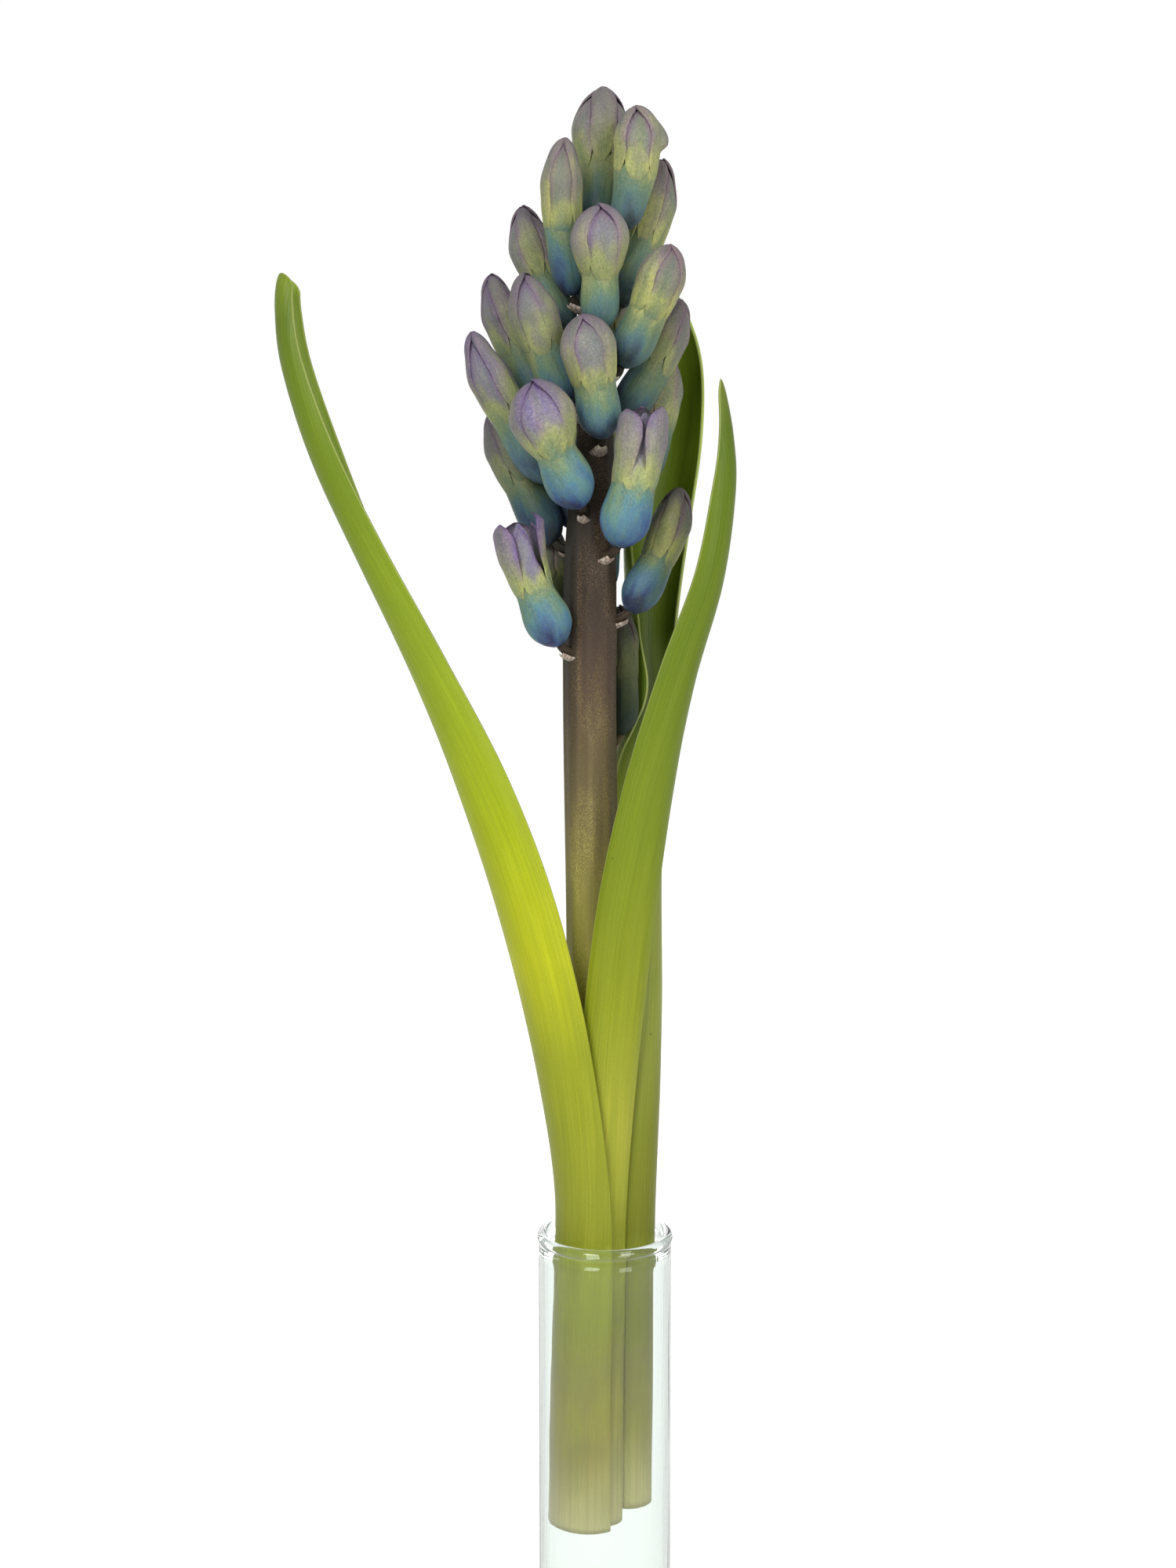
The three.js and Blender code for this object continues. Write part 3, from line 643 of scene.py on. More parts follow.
class Shells:
    """Closed shells of points gathered into one mesh, with the values that their material reads."""

    def __init__(self):
        self.points = []
        self.faces = []
        self.values = {}
        self.count = 0

    def add(self, rings, faces, grain=None, **values):
        """Adds a shell, whose faces are turned round where they point in. A value is given for
        each point or for a whole ring, column or shell, and grain is a place for each point."""
        points = rings.reshape(-1, 3)
        corners = np.array([face[:3] for face in faces])
        centred = points - points.mean(axis=0)
        a, b, c = (centred[corners[:, i]] for i in range(3))
        if np.einsum("ij,ij->i", a, np.cross(b, c)).sum() < 0:
            faces = [face[::-1] for face in faces]
        self.points.append(points)
        self.faces += [[index + self.count for index in face] for face in faces]
        for label, data in values.items():
            self.values.setdefault(label, []).append(np.broadcast_to(data, rings.shape[:-1]).ravel())
        if grain is not None:
            self.values.setdefault("grain", []).append(grain.reshape(-1, 3) * MM)
        self.count += len(points)

    def piece(self, name, **whole):
        """The mesh object. whole holds values that are the same all over it."""
        values = {label: np.concatenate(data) for label, data in self.values.items()}
        values.update({label: np.full(self.count, value) for label, value in whole.items()})
        return new_piece(name, np.concatenate(self.points) * MM, self.faces, values)


def loop_shell(rings):
    """Faces of a shell of rings, closed at both ends by strips across each end ring."""
    count, sides = rings.shape[:2]
    faces = ring_faces(count, sides)
    for ring, flip in ((0, True), (count - 1, False)):
        at = ring * sides
        for i in range(sides // 2 - 1):
            strip = [at + i, at + i + 1, at + sides - 2 - i, at + sides - 1 - i]
            faces.append(strip[::-1] if flip else strip)
    return faces


def petal_span(floret, shape, outer, share, opened):
    """Half the angle that a petal spans, in degrees, and half of what an outer petal covers."""
    foot_share = share - shape["notch"] * (1 - smooth(share, 0.5, 0.7))
    closed = along(OUTER_WIDTH if outer else INNER_WIDTH, foot_share)
    parted = along(OPEN_OUTER_WIDTH if outer else OPEN_INNER_WIDTH, foot_share)
    half_width = parted if "open" in floret else closed + (parted - closed) * opened
    half_width = half_width * (1 + (shape.get("width", 1) - 1) * smooth(share, 0.4, 0.52))
    waved = np.sin(9 * share + shape["wave"]) * 1.3 * smooth(share, 0.5, 0.7) * (1 - opened)
    cover = along(OUTER_WIDTH, share) * (1 + (shape.get("cover", 1) - 1) * smooth(share, 0.42, 0.6))
    return half_width + waved, cover


def outer_lift(share, depth, opened):
    """How proud of the bud an outer petal lies. depth is 0 up its middle and 1 at its margins."""
    rise = OUTER_SUNK * (smooth(share, 0.35, 0.43) - 1) + OUTER_PROUD * smooth(share, 0.45, 0.66)
    corner = smooth(depth, 0.45, 1.0) * hump(share, 0.37, 0.45, 0.5, 0.7)
    hood = OUTER_HOOD * (1 - depth**2) * hump(share, 0.84, 0.94, 0.97, 1.0)
    tuck = OUTER_TIP_TUCK * smooth(share, 0.66, 0.82) * (1 - opened)
    rise = rise + (OUTER_CORNER + OPEN_CORNER * opened) * corner
    return rise + hood - OUTER_MARGIN_DIP * depth**8 - tuck * depth**4


def inner_lift(share, depth, opened, from_cover):
    """How proud of the bud an inner petal lies. from_cover is how far it runs under its neighbours."""
    rise = INNER_SUNK * (smooth(share, 0.33, 0.42) - 1) + INNER_PROUD * smooth(share, 0.45, 0.6)
    corner = INNER_CORNER * smooth(depth, 0.5, 0.95) * hump(share, 0.37, 0.43, 0.46, 0.52)
    covered = smooth(from_cover, -7, 2) * smooth(share, 0.47, 0.54)
    dip = COVERED_DIP - COVERED_TIP_FILL * smooth(share, 0.66, 0.8) * (1 - opened)
    tip_dip = (INNER_TIP_DIP + OPEN_TIP_DIP * opened) * smooth(share, 0.86, 0.95)
    return rise + corner - dip * covered - tip_dip - opened * OPEN_INNER_DIP * smooth(share, 0.5, 0.7)


def petal(shells, floret, line, facing, outer, shape):
    """One petal: a cupped blade with a rounded margin, whose foot sinks into the floret's tube.

    shape holds its spread, its end as a share of the floret's length, its notch and the wave of
    its margin, its tone, and for some petals its width, how far its tip leans in, how deep it
    sinks, how far its right margin flares, and how much of the usual width its neighbours cover.
    """
    opened = float(smooth(shape["spread"], 0.05, 0.3))
    across = np.sin(np.linspace(-1, 1, PETAL_COLUMNS) * math.pi / 2)
    depth = np.abs(across)
    even = np.linspace(0, 1, PETAL_ROWS)
    start = OUTER_START if outer else INNER_START
    share = (start + (1 - start) * (0.62 * even + 0.38 * np.sin(even * math.pi / 2)))[:, None]
    half_width, cover = petal_span(floret, shape, outer, share, opened)
    angle = facing + across * half_width
    reach = bud_radius(floret, share)
    if outer:
        lift = outer_lift(share, depth, opened)
    else:
        lift = inner_lift(share, depth, opened, depth * half_width + cover - THIRD_TURN / 2)
    lift = lift - shape.get("sink", 0) * smooth(share, 0.53, 0.7)
    spread = shape["spread"] * OPEN_SPREAD * smooth(share, 0.42, 1.0) ** 1.5
    curl = opened * OPEN_TIP_CURL * smooth(share, 0.88, 1.0) ** 2
    flare = shape.get("flare", 0) * hump(share, 0.58, 0.66, 0.68, 0.93) * smooth(across, 0.1, 1)
    radius = reach + lift + spread - curl + flare - shape.get("lean", 0) * smooth(share, 0.84, 1.0)
    radius = np.maximum(radius, LEAST_RADIUS + 0.2 * (1 - depth))
    thick = PETAL_THICK * (1 - 0.6 * depth**4) * (1 - 0.45 * smooth(share, 0.85, 1))
    inside = np.maximum(radius - thick, 0.05)
    edge = np.degrees(RIM_REACH / np.maximum(reach, 0.8))
    run = share * shape["end"]
    outer_face = floret_place(line, run, angle, radius)
    inner_face = floret_place(line, run, angle, inside)
    rims = [floret_place(line, run, angle[:, [i]] + way * edge, (radius[:, [i]] + inside[:, [i]]) / 2)
            for i, way in ((-1, 1), (0, -1))]
    rings = np.concatenate([outer_face, rims[0], inner_face[:, ::-1], rims[1]], axis=1)
    turned = np.concatenate([across, [1], across[::-1], [-1]]) * half_width
    seam = half_width if outer else THIRD_TURN / 2 - cover
    places = np.arange(rings.shape[1])
    inward = (places > PETAL_COLUMNS) & (places < rings.shape[1] - 1)
    aside, upward = (turned + facing) * GRAIN_PER_DEGREE, share * floret_length(floret)
    grain = stacked(aside, inward * GRAIN_INSIDE, upward)
    # The inward faces are marked for painted shade, faintly on a closed bud and fully on an open floret.
    shells.add(rings, loop_shell(rings), grain=grain, share=share, inner=0 if outer else 1,
               from_seam=(seam - np.abs(turned)) * reach * math.pi / 180,
               hidden=inward * (0.08 + 0.92 * opened), petal_tone=shape["tone"])


def perianth_tube(shells, floret, line, wave):
    """The fleshy tube at a floret's foot, with a shallow groove below each petal's edge."""
    angle = np.linspace(0, 360, PERIANTH_SIDES, endpoint=False)
    share = np.linspace(0.003, PERIANTH_TOP, PERIANTH_ROWS)[:, None]
    groove = (0.5 + 0.5 * np.cos(np.radians(6 * (angle - floret["turn"]) + 180))) ** 3
    dented = 1 - 0.022 * groove * hump(share, 0.02, 0.14, 0.3, 0.4)
    uneven = 1 + 0.012 * np.sin(np.radians(angle * 2) + wave) * smooth(share, 0.0, 0.15)
    radius = bud_radius(floret, share) * dented * uneven
    radius = radius - 0.12 * smooth(share, 0.36, 0.46) - 0.75 * smooth(share, 0.44, 0.54)
    radius = radius * (1 - 0.96 * smooth(share, 0.54, PERIANTH_TOP) ** 2)
    rings = floret_place(line, share, angle, radius)
    points = np.concatenate([rings.reshape(-1, 3), [rings[0].mean(axis=0), rings[-1].mean(axis=0)]])
    length, turns = floret_length(floret), np.radians(angle)
    grain = stacked(radius * np.cos(turns), radius * np.sin(turns), share * length)
    grain = np.concatenate([grain.reshape(-1, 3), [[0, 0, 0], [0, 0, length * PERIANTH_TOP]]])
    shares = np.concatenate([np.broadcast_to(share, radius.shape).ravel(), [0, PERIANTH_TOP]])
    # The tube's top, deep inside the bud, is marked for painted shade.
    shells.add(points, capped_faces(PERIANTH_ROWS, PERIANTH_SIDES), grain=grain, share=shares,
               inner=0, from_seam=9, hidden=smooth(shares, 0.46, 0.5), petal_tone=0.5)


def floret_piece(name, floret, number):
    line = floret_line(floret)
    draw = np.random.default_rng(100 + number)
    shells = Shells()
    perianth_tube(shells, floret, line, draw.uniform(0, 6))
    spread = floret.get("open", 0)
    for order in range(6):
        outer = order % 2 == 1
        facing = floret["turn"] + order * THIRD_TURN / 2 + draw.uniform(-3, 3)
        shape = {
            "spread": spread * (0.3 if outer else 0.05),
            "end": draw.uniform(0.98, 1.02) if outer else 0.975,
            "notch": draw.uniform(-0.025, 0.03),
            "wave": draw.uniform(0, 6),
            "tone": draw.uniform(0, 1),
        }
        shape.update(floret.get("petals", {}).get(order, {}))
        petal(shells, floret, line, facing + shape.get("turn", 0), outer, shape)
    looks = {label: floret[label] for label in ("lilac", "blue", "gold", "dusk")}
    return shells.piece(name, tone=draw.uniform(0, 1), **looks)


GREEN_FOOT = [
    (0.0, (50, 66, 62)), (0.1, (78, 106, 100)), (0.2, (96, 124, 98)), (0.31, (118, 138, 92)),
    (0.48, (150, 158, 102)), (0.75, (148, 150, 116)), (0.9, (128, 122, 116)), (1.0, (100, 90, 86)),
]
BLUE_FOOT = [
    (0.0, (38, 44, 98)), (0.08, (54, 84, 144)), (0.16, (76, 124, 162)), (0.25, (96, 144, 148)),
    (0.34, (122, 152, 120)), (0.48, (160, 168, 116)), (0.75, (150, 150, 128)), (1.0, (118, 108, 118)),
]
PETAL_PATTERNS = {
    "drift": (270.0, (1, 1, 0.5), 3.0, 0.26, 0.74),
    "cloud": (430.0, (1, 1, 0.35), 3.0, 0.32, 0.66),
    "gilding": (300.0, (1, 1, 0.35), 2.0, 0.32, 0.68),
    "pink": (620.0, (1, 1, 0.2), 3.0, 0.42, 0.76),
    "green": (560.0, (1, 1, 0.25), 3.0, 0.38, 0.74),
    "mottling": (3000.0, (1, 1, 0.7), 4.0, 0.33, 0.69),
    "specks": (4600.0, (1, 1, 0.7), 3.0, 0.45, 0.8),
    "ink": (900.0, (1, 1, 0.6), 2.0, 0.3, 0.6),
    "veins": (1500.0, (1, 1, 0.06), 2.0, 0.35, 0.65),
}
# The hollow colour is painted shade for a floret's inside, and the last, darkest colour is painted shade that
# darkens whole florets.
PETAL_PAINTS = {
    "haze": (132, 112, 154),
    "gilding": (200, 200, 108),
    "pink": (158, 130, 138),
    "green": (88, 110, 80),
    "mottling": (66, 76, 68),
    "specks": (202, 198, 172),
    "ink": (70, 44, 78),
    "hollow": (46, 32, 70),
    "tone": (86, 94, 84),
    "dusk": (34, 42, 28),
}
GREEN_FACE, VIOLET_FACE = (124, 132, 112), (118, 106, 156)
ROSE_SEAM, VIOLET_SEAM = (146, 114, 126), (100, 68, 142)


def attribute(tree, name, output="Fac"):
    """The output of a node that reads one of the mesh's own values."""
    return add_node(tree, "ShaderNodeAttribute", attribute_name=name).outputs[output]


def rest(tree, value):
    """What a share leaves of 1."""
    return math_node(tree, "SUBTRACT", 1.0, value)


def zone(tree, value, rise_from, rise_to, fall_from, fall_to):
    """A soft step up to 1 and another back down to 0."""
    fall = mask(tree, value, fall_from, fall_to)
    return product(tree, mask(tree, value, rise_from, rise_to), rest(tree, fall))


def petal_skin():
    material, tree, output = new_material("petal_skin")
    share, lilac, blue, gold, dusk = (
        attribute(tree, name) for name in ("share", "lilac", "blue", "gold", "dusk"))
    from_seam = math_node(tree, "ABSOLUTE", attribute(tree, "from_seam"))
    shift = product(tree, attribute(tree, "tone"), 0.03)
    grain = add_node(tree, "ShaderNodeVectorMath", {0: attribute(tree, "grain", "Vector"), 1: shift},
                     operation="ADD").outputs[0]
    pattern = {name: streaks(tree, grain, *values) for name, values in PETAL_PATTERNS.items()}
    shifted = math_node(tree, "ADD", share, scaled(tree, pattern["drift"], 0.24, -0.12))

    def paint(skin, name, *shares):
        return painted(tree, skin, PETAL_PAINTS[name], *shares)

    # From a green or a blue foot to a grey tip, with a lilac haze over the upper half.
    skin = mixed(tree, blue, ramp(tree, shifted, GREEN_FOOT), ramp(tree, shifted, BLUE_FOOT))
    clouded = scaled(tree, pattern["cloud"], 0.5, 0.4)
    skin = paint(skin, "haze", mask(tree, shifted, 0.48, 0.74), lilac, clouded)
    # The inner petals' faces and the seams turn violet on a lilac bud.
    face = product(tree, attribute(tree, "inner"), mask(tree, shifted, 0.5, 0.68))
    violet = mixed(tree, lilac, srgb(*GREEN_FACE), srgb(*VIOLET_FACE))
    skin = mixed(tree, product(tree, face, 0.72), skin, violet)
    blushed = product(tree, rest(tree, mask(tree, from_seam, 0.0, 1.3)), mask(tree, shifted, 0.46, 0.66))
    blush = mixed(tree, lilac, srgb(*ROSE_SEAM), srgb(*VIOLET_SEAM))
    skin = mixed(tree, product(tree, blushed, 0.68), skin, blush)
    # Yellow lies in patches over the middle, and in tongues up the outer petals' edges.
    edge = rest(tree, mask(tree, from_seam, 0.2, 3.2))
    gilding = math_node(tree, "MAXIMUM", product(tree, zone(tree, share, 0.38, 0.46, 0.5, 0.72), edge),
                        product(tree, zone(tree, shifted, 0.38, 0.5, 0.6, 0.9), pattern["gilding"]))
    golden = scaled(tree, gold, 0.66, 0.1)
    skin = paint(skin, "gilding", gilding, scaled(tree, face, -0.6, 1.0), golden)
    skin = paint(skin, "pink", pattern["pink"], mask(tree, shifted, 0.44, 0.6), 0.4)
    skin = paint(skin, "green", pattern["green"], 0.38)
    # Fine mottling and specks all over, fainter on the foot.
    above_foot = scaled(tree, mask(tree, share, 0.12, 0.4), 0.6, 0.4)
    skin = paint(skin, "mottling", pattern["mottling"], above_foot, 0.32)
    skin = paint(skin, "specks", pattern["specks"], above_foot, 0.26)
    # A broken dark line along each seam, and painted shade inside the floret: faint on a closed bud's inward
    # faces, deep inside an open one.
    line = product(tree, rest(tree, mask(tree, from_seam, 0.0, 0.13)), mask(tree, share, 0.5, 0.62))
    skin = paint(skin, "ink", line, scaled(tree, pattern["ink"], 0.5, 0.2))
    skin = paint(skin, "hollow", attribute(tree, "hidden"), 0.85)
    skin = paint(skin, "tone", attribute(tree, "petal_tone"), 0.2)
    # Painted shade: each floret is darkened by its own shade value, most towards its foot.
    skin = paint(skin, "dusk", dusk, scaled(tree, mask(tree, share, 0.1, 0.6), -0.35, 0.95))
    relief = scaled(tree, pattern["mottling"], 0.5, pattern["veins"])
    plant_skin(tree, output, Base_Color=skin, Roughness=0.5, Normal=bumped(tree, relief, 0.4, 0.00008),
               Subsurface_Weight=0.08)
    return material


PETAL_SKIN = petal_skin()
for number, floret in enumerate(FLORETS, start=1):
    bloom = floret_piece(f"bloom_{number:02d}", floret, number)
    bloom.data.materials.append(PETAL_SKIN)
    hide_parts(f"floret_{number:02d}")
    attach(bloom, "root")

# ---- Pedicels and bracts ------------------------------------------------------------------
# A short fleshy pedicel carries each floret, and a thin pale bract sits under it. Both grow out
# of the scape. Geometry Nodes sweep the pedicels and set one bract at the foot of each.

PEDICEL_RADIUS = 0.8
PEDICEL_POINTS = 9
PEDICEL_DROP = 2.5
PEDICEL_ELBOW = 2.2
PEDICEL_BELOW_TOP = 1.5
PEDICEL_STEM = {"Rings": 12, "Sides": 16, "Ribs": 5, "Rib depth": 0.05}
SEAT_GAP = 0.06
BRACT_LENGTH = 2.6
BRACT_ROOT = 0.9
BRACT_HALF_WIDTH = 1.15
BRACT_HALF_THICK = 0.14
BRACT_RISE = 0.9
BRACT_CUP = 0.55
BRACT_POINTS = 9
BRACT_DROP = 3.2
BRACT_BELOW_TOP = 3
BRACT_SIZES = (0.9, 1.5)
BRACT_FIBRES = (2600.0, (1, 1, 0.3), 3.0, 0.35, 0.65)


def pedicel_line(floret):
    """Points up a pedicel, from inside the scape to just below the floret's foot."""
    foot, control, _, _ = floret_line(floret)
    heading = unit(control - foot)
    end = foot - heading * SEAT_GAP
    root = scape_axis(min(end[2] - PEDICEL_DROP, SCAPE_TOP - PEDICEL_BELOW_TOP))
    elbow = end - heading * PEDICEL_ELBOW
    return bent(np.linspace(0, 1, PEDICEL_POINTS)[:, None], root, elbow, end)


pedicel_lines = [pedicel_line(floret) for floret in FLORETS]
pedicel_radii = [PEDICEL_RADIUS * (1.25 - 0.25 * np.linspace(0, 1, PEDICEL_POINTS)) for _ in FLORETS]
pedicels = stem_lines("pedicels", pedicel_lines, pedicel_radii)
grown(pedicels, RIBBED_STEM, {**PEDICEL_STEM, "Skin": SCAPE_SKIN})
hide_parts("flower_stalk")
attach(pedicels, "root")


def bract_skin():
    material, tree, output = new_material("bract_skin")
    fibres = streaks(tree, object_place(tree), *BRACT_FIBRES)
    colour = mixed(tree, fibres, srgb(200, 190, 172), srgb(140, 116, 108))
    plant_skin(tree, output, Base_Color=colour, Roughness=0.6, Normal=bumped(tree, fibres, 0.4, 0.0001))
    return material


def bract_blade():
    """One bract in millimetres: a cupped scale, pointing along +X from its root at the origin."""
    across = np.linspace(-1, 1, BRACT_POINTS)
    rise = np.linspace(0, 1, BRACT_POINTS)[:, None]
    forward = BRACT_LENGTH * rise - BRACT_ROOT
    sideways = across * BRACT_HALF_WIDTH * np.sqrt(1 - (0.94 * rise) ** 3)
    height = BRACT_RISE * rise**2 + BRACT_CUP * across**2 * (1 - 0.4 * rise)
    top, under = (stacked(forward, sideways, height + side * BRACT_HALF_THICK) for side in (1, -1))
    rings = np.concatenate([top, under[:, ::-1]], axis=1)
    shells = Shells()
    shells.add(rings, loop_shell(rings))
    return shells.piece("bract_blade")


def bract_tree():
    """Sets the blade on each point, facing as its outward value says."""
    tree, given, output = new_geometry_tree("bracts", {"Blade": ("NodeSocketObject", None)})
    blade = add_node(tree, "GeometryNodeObjectInfo", {"Object": given["Blade"]})
    turned = add_node(tree, "FunctionNodeAlignRotationToVector",
                      {"Vector": named_value(tree, "outward", "FLOAT_VECTOR")}, axis="X", pivot_axis="Z")
    placed = add_node(tree, "GeometryNodeInstanceOnPoints", {
        "Points": given["Geometry"],
        "Instance": blade.outputs["Geometry"],
        "Rotation": turned.outputs[0],
        "Scale": named_value(tree, "size"),
    })
    return finish_tree(tree, placed.outputs[0], given["Skin"], output)


def bract_points():
    """A point on the scape's skin under each floret, with its way out and its size."""
    places, ways, sizes = [], [], []
    draw = np.random.default_rng(7)
    for floret in FLORETS:
        foot = floret_line(floret)[0]
        height = min(foot[2] - BRACT_DROP, SCAPE_TOP - BRACT_BELOW_TOP)
        axis = scape_axis(height)
        outward = unit((foot - axis) * (1, 1, 0))
        places.append((axis + outward * scape_radius(height)) * MM)
        ways.append(outward)
        sizes.append(draw.uniform(*BRACT_SIZES))
    return new_piece("bracts", places, [], {"outward": ways, "size": sizes})


blade = bract_blade()
bracts = grown(bract_points(), bract_tree(), {"Blade": blade, "Skin": bract_skin()})
bpy.data.objects.remove(blade)
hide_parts("flower_stalk")
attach(bracts, "root")

# ---- Leaves -------------------------------------------------------------------------------
# Three thick strap leaves, hollowed like a gutter and hooded at the tip. Their sheaths wrap the
# scape in the tube. The skin is waxy, with close upright veins and a thin pale margin, and it
# fades to cream where it grew underground.

# Places up the middle of the blade, in millimetres, each with the compass direction that the hollow
# side faces, the width round the curve of the blade, how far round it curls, and its thickness.
LEAVES = {
    "leaf_left": [
        (-7.9, -5.8, 36.7, 42, 19.0, 150, 2.1),
        (-7.6, -5.9, 60, 40, 18.5, 147, 2.1),
        (-7.0, -5.9, 85, 40, 18.0, 142, 2.0),
        (-6.6, -6.6, 100, 46, 15.8, 120, 2.0),
        (-8.2, -8.2, 118, 56, 14.0, 100, 1.9),
        (-11.4, -9.4, 137, 63, 13.2, 92, 1.8),
        (-16.5, -10.4, 156, 61, 13.4, 95, 1.7),
        (-23.7, -11.2, 175, 52, 13.4, 110, 1.6),
        (-33.1, -11.8, 195, 30, 13.0, 135, 1.5),
        (-43.0, -12.2, 215, 10, 13.6, 158, 1.5),
        (-51.2, -12.4, 233, -1, 14.0, 172, 1.5),
        (-56.2, -12.4, 249, -4, 12.0, 172, 1.5),
        (-57.4, -12.4, 259.2, -4, 9.8, 180, 1.4),
        (-57.0, -12.4, 265.7, -4, 8.0, 200, 1.3),
    ],
    "leaf_right": [
        (-0.4, -5.8, 36.7, 105, 8.5, 78, 1.4),
        (-0.2, -5.9, 70, 105, 8.5, 78, 1.4),
        (0.0, -6.0, 95, 105, 9.2, 80, 1.5),
        (0.6, -6.8, 115, 102, 10.6, 78, 1.7),
        (2.0, -8.0, 135, 100, 11.6, 76, 1.7),
        (4.6, -9.0, 155, 104, 11.6, 80, 1.6),
        (8.7, -9.8, 175, 116, 11.0, 95, 1.5),
        (14.4, -10.2, 195, 138, 10.8, 115, 1.4),
        (19.9, -10.4, 212, 153, 10.6, 125, 1.4),
        (22.3, -10.4, 228, 160, 9.4, 125, 1.3),
        (22.0, -10.4, 238, 165, 6.0, 115, 1.2),
        (20.3, -10.4, 247.8, 170, 2.2, 90, 1.0),
    ],
    "leaf_back": [
        (8.1, 0.9, 38.5, 165, 13.6, 170, 1.8),
        (8.3, 0.9, 65, 165, 13.6, 170, 1.8),
        (8.5, 1.1, 92, 165, 13.6, 166, 1.8),
        (9.6, 1.9, 120, 174, 13.9, 162, 1.8),
        (9.9, 4.9, 142, 188, 14.5, 170, 1.8),
        (8.8, 10.1, 158, 225, 16.7, 195, 1.8),
        (6.2, 14.2, 170, 266, 18.0, 215, 1.7),
        (5.7, 15.0, 178, 282, 18.6, 220, 1.6),
        (6.5, 15.9, 185, 296, 17.3, 228, 1.6),
        (7.5, 16.3, 193, 304, 16.2, 245, 1.5),
        (7.1, 17.3, 204, 300, 16.9, 220, 1.5),
        (8.0, 20.0, 222, 290, 20.3, 195, 1.5),
        (12.5, 21.0, 240, 270, 17.3, 165, 1.5),
        (12.9, 20.4, 254, 266, 15.8, 142, 1.4),
        (11.2, 19.4, 263.5, 264, 12.4, 125, 1.3),
        (9.8, 18.8, 269, 264, 8.0, 100, 1.1),
    ],
}
LEAF_ROWS = 260
LEAF_COLUMNS = 40
LEAF_MARGIN = 0.6
LEAF_RIM = 0.2
LEAF_TIP = 0.965
GRAIN_HOLLOW = 5
# Colours painted on each leaf's hollow side up high: painted light on leaf_left and leaf_right, whose hollows
# lie in shade, and painted shade on leaf_back.
LEAF_HOLLOW_LIGHT_AND_SHADE = {"leaf_left": (152, 178, 58), "leaf_right": (104, 126, 28), "leaf_back": (44, 58, 16)}
# Each leaf's colours up its length hold painted light and shade as well as its own greens: leaf_back's upper
# stops are painted light where it lies in shade.
LEAF_COLOURS_AND_LIGHT = {
    "leaf_left": [
        (0.0, (186, 170, 130)), (0.05, (144, 126, 54)), (0.12, (126, 120, 12)), (0.22, (146, 150, 44)),
        (0.34, (158, 164, 36)), (0.41, (188, 192, 28)), (0.52, (166, 180, 22)), (0.63, (140, 160, 34)),
        (0.75, (104, 128, 20)), (0.9, (88, 110, 28)), (1.0, (120, 138, 40)),
    ],
    "leaf_right": [
        (0.0, (186, 170, 130)), (0.05, (144, 128, 52)), (0.11, (120, 114, 12)), (0.2, (164, 166, 52)),
        (0.26, (174, 174, 58)), (0.36, (146, 154, 32)), (0.5, (122, 138, 28)), (0.64, (100, 120, 20)),
        (0.8, (92, 114, 18)), (0.92, (86, 106, 26)), (1.0, (120, 128, 54)),
    ],
    "leaf_back": [
        (0.0, (180, 166, 122)), (0.04, (134, 122, 50)), (0.09, (108, 102, 20)), (0.17, (124, 128, 38)),
        (0.24, (146, 154, 66)), (0.42, (134, 146, 62)), (0.56, (76, 96, 26)), (0.66, (92, 116, 24)),
        (0.78, (158, 192, 42)), (0.94, (162, 196, 36)), (1.0, (160, 186, 60)),
    ],
}
# The veins don't change through the blade's thickness.
LEAF_PATTERNS = {
    "veins": (3400.0, (1, 0, 0.01), 2.0, 0.32, 0.68),
    "bands": (420.0, (1, 1, 0.03), 2.0, 0.3, 0.7),
    "cloud": (160.0, (1, 1, 0.4), 3.0, 0.3, 0.7),
    "fine": (5200.0, (1, 1, 0.5), 2.0, 0.35, 0.65),
    "stain": (130.0, (1, 1, 0.6), 3.0, 0.44, 0.62),
}
LEAF_PAINTS = {
    "veins": ((60, 82, 16), 0.2),
    "bands": ((176, 188, 70), 0.1),
    "cloud": ((84, 110, 20), 0.14),
    "fine": ((60, 80, 20), 0.08),
}
SPOT_FINENESS = 130.0
SPOT_SIZE = (0.014, 0.036)


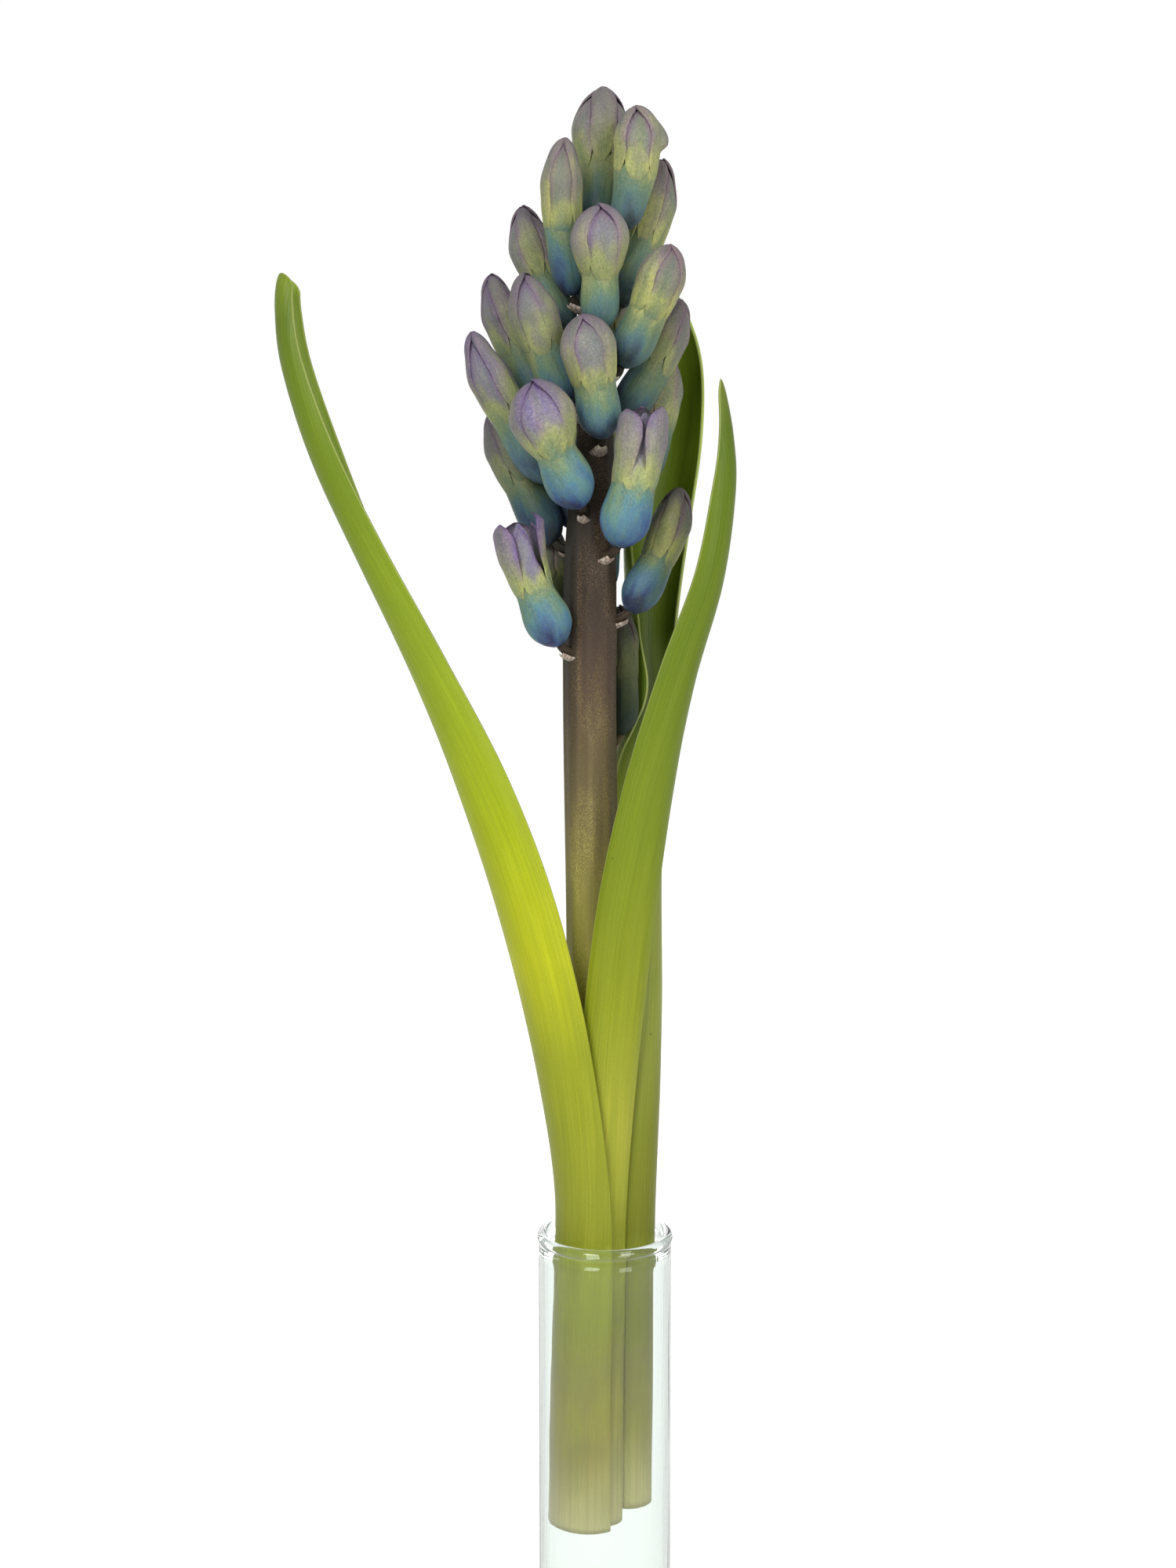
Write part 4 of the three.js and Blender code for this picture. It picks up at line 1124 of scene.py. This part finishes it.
def leaf_piece(name, course):
    share = np.linspace(0, 1, LEAF_ROWS)
    steps = [i / (len(course) - 1) for i in range(len(course))]
    x, y, z, face, width, bend, thick = (along(list(zip(steps, column)), share) for column in zip(*course))
    middle = stacked(x, y, z)
    ahead = unit(np.gradient(middle, axis=0))
    face, bend = np.radians(face), np.radians(bend)
    facing = stacked(np.cos(face), np.sin(face), 0)
    inward = unit(facing - ahead * np.sum(facing * ahead, axis=-1, keepdims=True))
    sideways = np.cross(ahead, inward)
    past_tip = np.clip((share - LEAF_TIP) / (1 - LEAF_TIP), 0, 1)
    tip = np.sqrt(np.clip(1 - past_tip**2, 0.0004, 1))[:, None]
    across = np.sin(np.linspace(-1, 1, LEAF_COLUMNS) * math.pi / 2)
    half = 0.5 * (LEAF_MARGIN + (thick[:, None] - LEAF_MARGIN) * (1 - across**2)) * tip
    radius = (width / bend)[:, None]
    turn = across * bend[:, None] / 2 * tip

    def curled(reach, angle):
        aside, inwards = reach * np.sin(angle), radius - reach * np.cos(angle)
        return middle[:, None] - sideways[:, None] * aside[..., None] + inward[:, None] * inwards[..., None]

    outside, hollow = (curled(radius + side * half, turn) for side in (1, -1))
    rims = [curled(radius, turn[:, [column]] + way * LEAF_RIM / radius) for column, way in ((-1, 1), (0, -1))]
    rings = np.concatenate([outside, rims[0], hollow[:, ::-1], rims[1]], axis=1)
    order = np.concatenate([across, [1], across[::-1], [-1]])
    side = np.concatenate([0 * across, [0.5], 0 * across + 1, [0.5]])
    run = np.concatenate([[0], np.cumsum(np.linalg.norm(np.diff(middle, axis=0), axis=1))])
    grain = stacked(width[:, None] / 2 * tip * order, side * GRAIN_HOLLOW, run[:, None])
    shells = Shells()
    shells.add(rings, loop_shell(rings), grain=grain, share=share[:, None], margin=np.abs(order), hollow=side)
    return shells.piece(name)


def leaf_skin(name, colours_and_light, hollow_light_and_shade):
    material, tree, output = new_material(name)
    share = attribute(tree, "share")
    grain = attribute(tree, "grain", "Vector")
    pattern = {label: streaks(tree, grain, *values) for label, values in LEAF_PATTERNS.items()}
    veins = pattern["veins"]
    # Painted light and shade on the hollow side of the blade's upper part.
    hollow = product(tree, attribute(tree, "hollow"), mask(tree, share, 0.4, 0.6))
    skin = painted(tree, ramp(tree, share, colours_and_light), hollow_light_and_shade, hollow, 0.7)
    for label, (colour, thickness) in LEAF_PAINTS.items():
        skin = painted(tree, skin, colour, pattern[label], thickness)
    pale = product(tree, mask(tree, attribute(tree, "margin"), 0.985, 1.0), mask(tree, share, 0.3, 0.5))
    skin = painted(tree, skin, (196, 204, 130), pale, 0.4)
    foot = zone(tree, share, 0.01, 0.05, 0.08, 0.13)
    skin = painted(tree, skin, (112, 100, 56), foot, pattern["stain"], 0.4)
    spots = add_node(tree, "ShaderNodeTexVoronoi",
                     {"Vector": grain, "Scale": SPOT_FINENESS, "Randomness": 1.0})
    spot = rest(tree, mask(tree, spots.outputs["Distance"], *SPOT_SIZE))
    skin = painted(tree, skin, (70, 56, 26), spot, 0.7)
    plant_skin(tree, output, Base_Color=skin, Roughness=0.38, Normal=bumped(tree, veins, 0.3, 0.0001),
               Specular_IOR_Level=0.16)
    return material


for name, course in LEAVES.items():
    leaf = leaf_piece(f"{name}_blade", course)
    leaf.data.materials.append(leaf_skin(f"{name}_skin", LEAF_COLOURS_AND_LIGHT[name], LEAF_HOLLOW_LIGHT_AND_SHADE[name]))
    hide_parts(name)
    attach(leaf, "root")

# ---- Floor, light and camera --------------------------------------------------------------
# A wide white floor, a large soft light high on the left, a weaker one on the right and a faint
# one behind. The camera stands level with the lowest buds and looks slightly down.

FLOOR_SIZE = 6.0
FLOOR_LIGHT = 0.42
SKY_LIGHT = 0.26
MIRRORED_LIGHT = 0.72
LIGHTS_AIM = Vector((0, 0, 0.2))
# Each light's place, size and power, in metres and watts.
LIGHTS = {
    "key_light": ((-0.4, -0.85, 0.6), (0.45, 0.55), 6.4),
    "fill_light": ((0.6, -0.75, 0.4), (0.4, 0.6), 4.2),
    "back_light": ((-0.1, 0.9, 0.45), (0.5, 0.6), 2.8),
}
CAMERA_PLACE = (-3.2 * MM, -319.6 * MM, 194.8 * MM)
CAMERA_DIP = 3.5
CAMERA_LENS = 39.6
CAMERA_SENSOR = 36


def glow(tree, light):
    """1 where the camera sees it, also through the glass, less in a reflection, and light elsewhere."""
    ray = add_node(tree, "ShaderNodeLightPath")
    sharp = math_node(tree, "LESS_THAN", ray.outputs["Diffuse Depth"], 0.5)
    straight = math_node(tree, "LESS_THAN", ray.outputs["Glossy Depth"], 0.5)
    mirrored = scaled(tree, sharp, MIRRORED_LIGHT - light, light)
    return scaled(tree, product(tree, sharp, straight), 1 - MIRRORED_LIGHT, mirrored)


def floor_sheet():
    points = [[x * FLOOR_SIZE, y * FLOOR_SIZE, 0] for x, y in ((-1, -1), (1, -1), (1, 1), (-1, 1))]
    sheet = new_piece("floor", points, [[0, 1, 2, 3]])
    material, tree, output = new_material("floor_paint")
    paint = add_node(tree, "ShaderNodeBsdfPrincipled", {
        "Base Color": srgb(150, 150, 150),
        "Roughness": 0.9,
        "Specular IOR Level": 0.1,
        "Emission Color": (1, 1, 1, 1),
        "Emission Strength": glow(tree, FLOOR_LIGHT),
    })
    tree.links.new(paint.outputs[0], output.inputs["Surface"])
    sheet.data.materials.append(material)


def studio_air():
    world = bpy.data.worlds.new("studio")
    world.use_nodes = True
    tree = world.node_tree
    tree.nodes.clear()
    sky = add_node(tree, "ShaderNodeBackground", {"Color": (1, 1, 1, 1), "Strength": glow(tree, SKY_LIGHT)})
    output = add_node(tree, "ShaderNodeOutputWorld", {"Surface": sky.outputs[0]})
    output.is_active_output = True
    bpy.context.scene.world = world


def photo_camera():
    view = bpy.data.cameras.new("camera")
    view.lens = CAMERA_LENS
    view.sensor_width = CAMERA_SENSOR
    view.clip_start = 0.01
    holder = new_object("camera", view)
    holder.location = CAMERA_PLACE
    holder.rotation_euler = (math.radians(90 - CAMERA_DIP), 0, 0)
    bpy.context.scene.camera = holder


def soft_light(name, place, size, watts):
    lamp = bpy.data.lights.new(name, "AREA")
    lamp.shape = "RECTANGLE"
    lamp.size, lamp.size_y = size
    lamp.energy = watts
    holder = new_object(name, lamp)
    holder.location = place
    holder.rotation_euler = (LIGHTS_AIM - Vector(place)).to_track_quat("-Z", "Y").to_euler()


floor_sheet()
studio_air()
photo_camera()
for name, light in LIGHTS.items():
    soft_light(name, *light)
bpy.context.scene.view_settings.view_transform = "Standard"
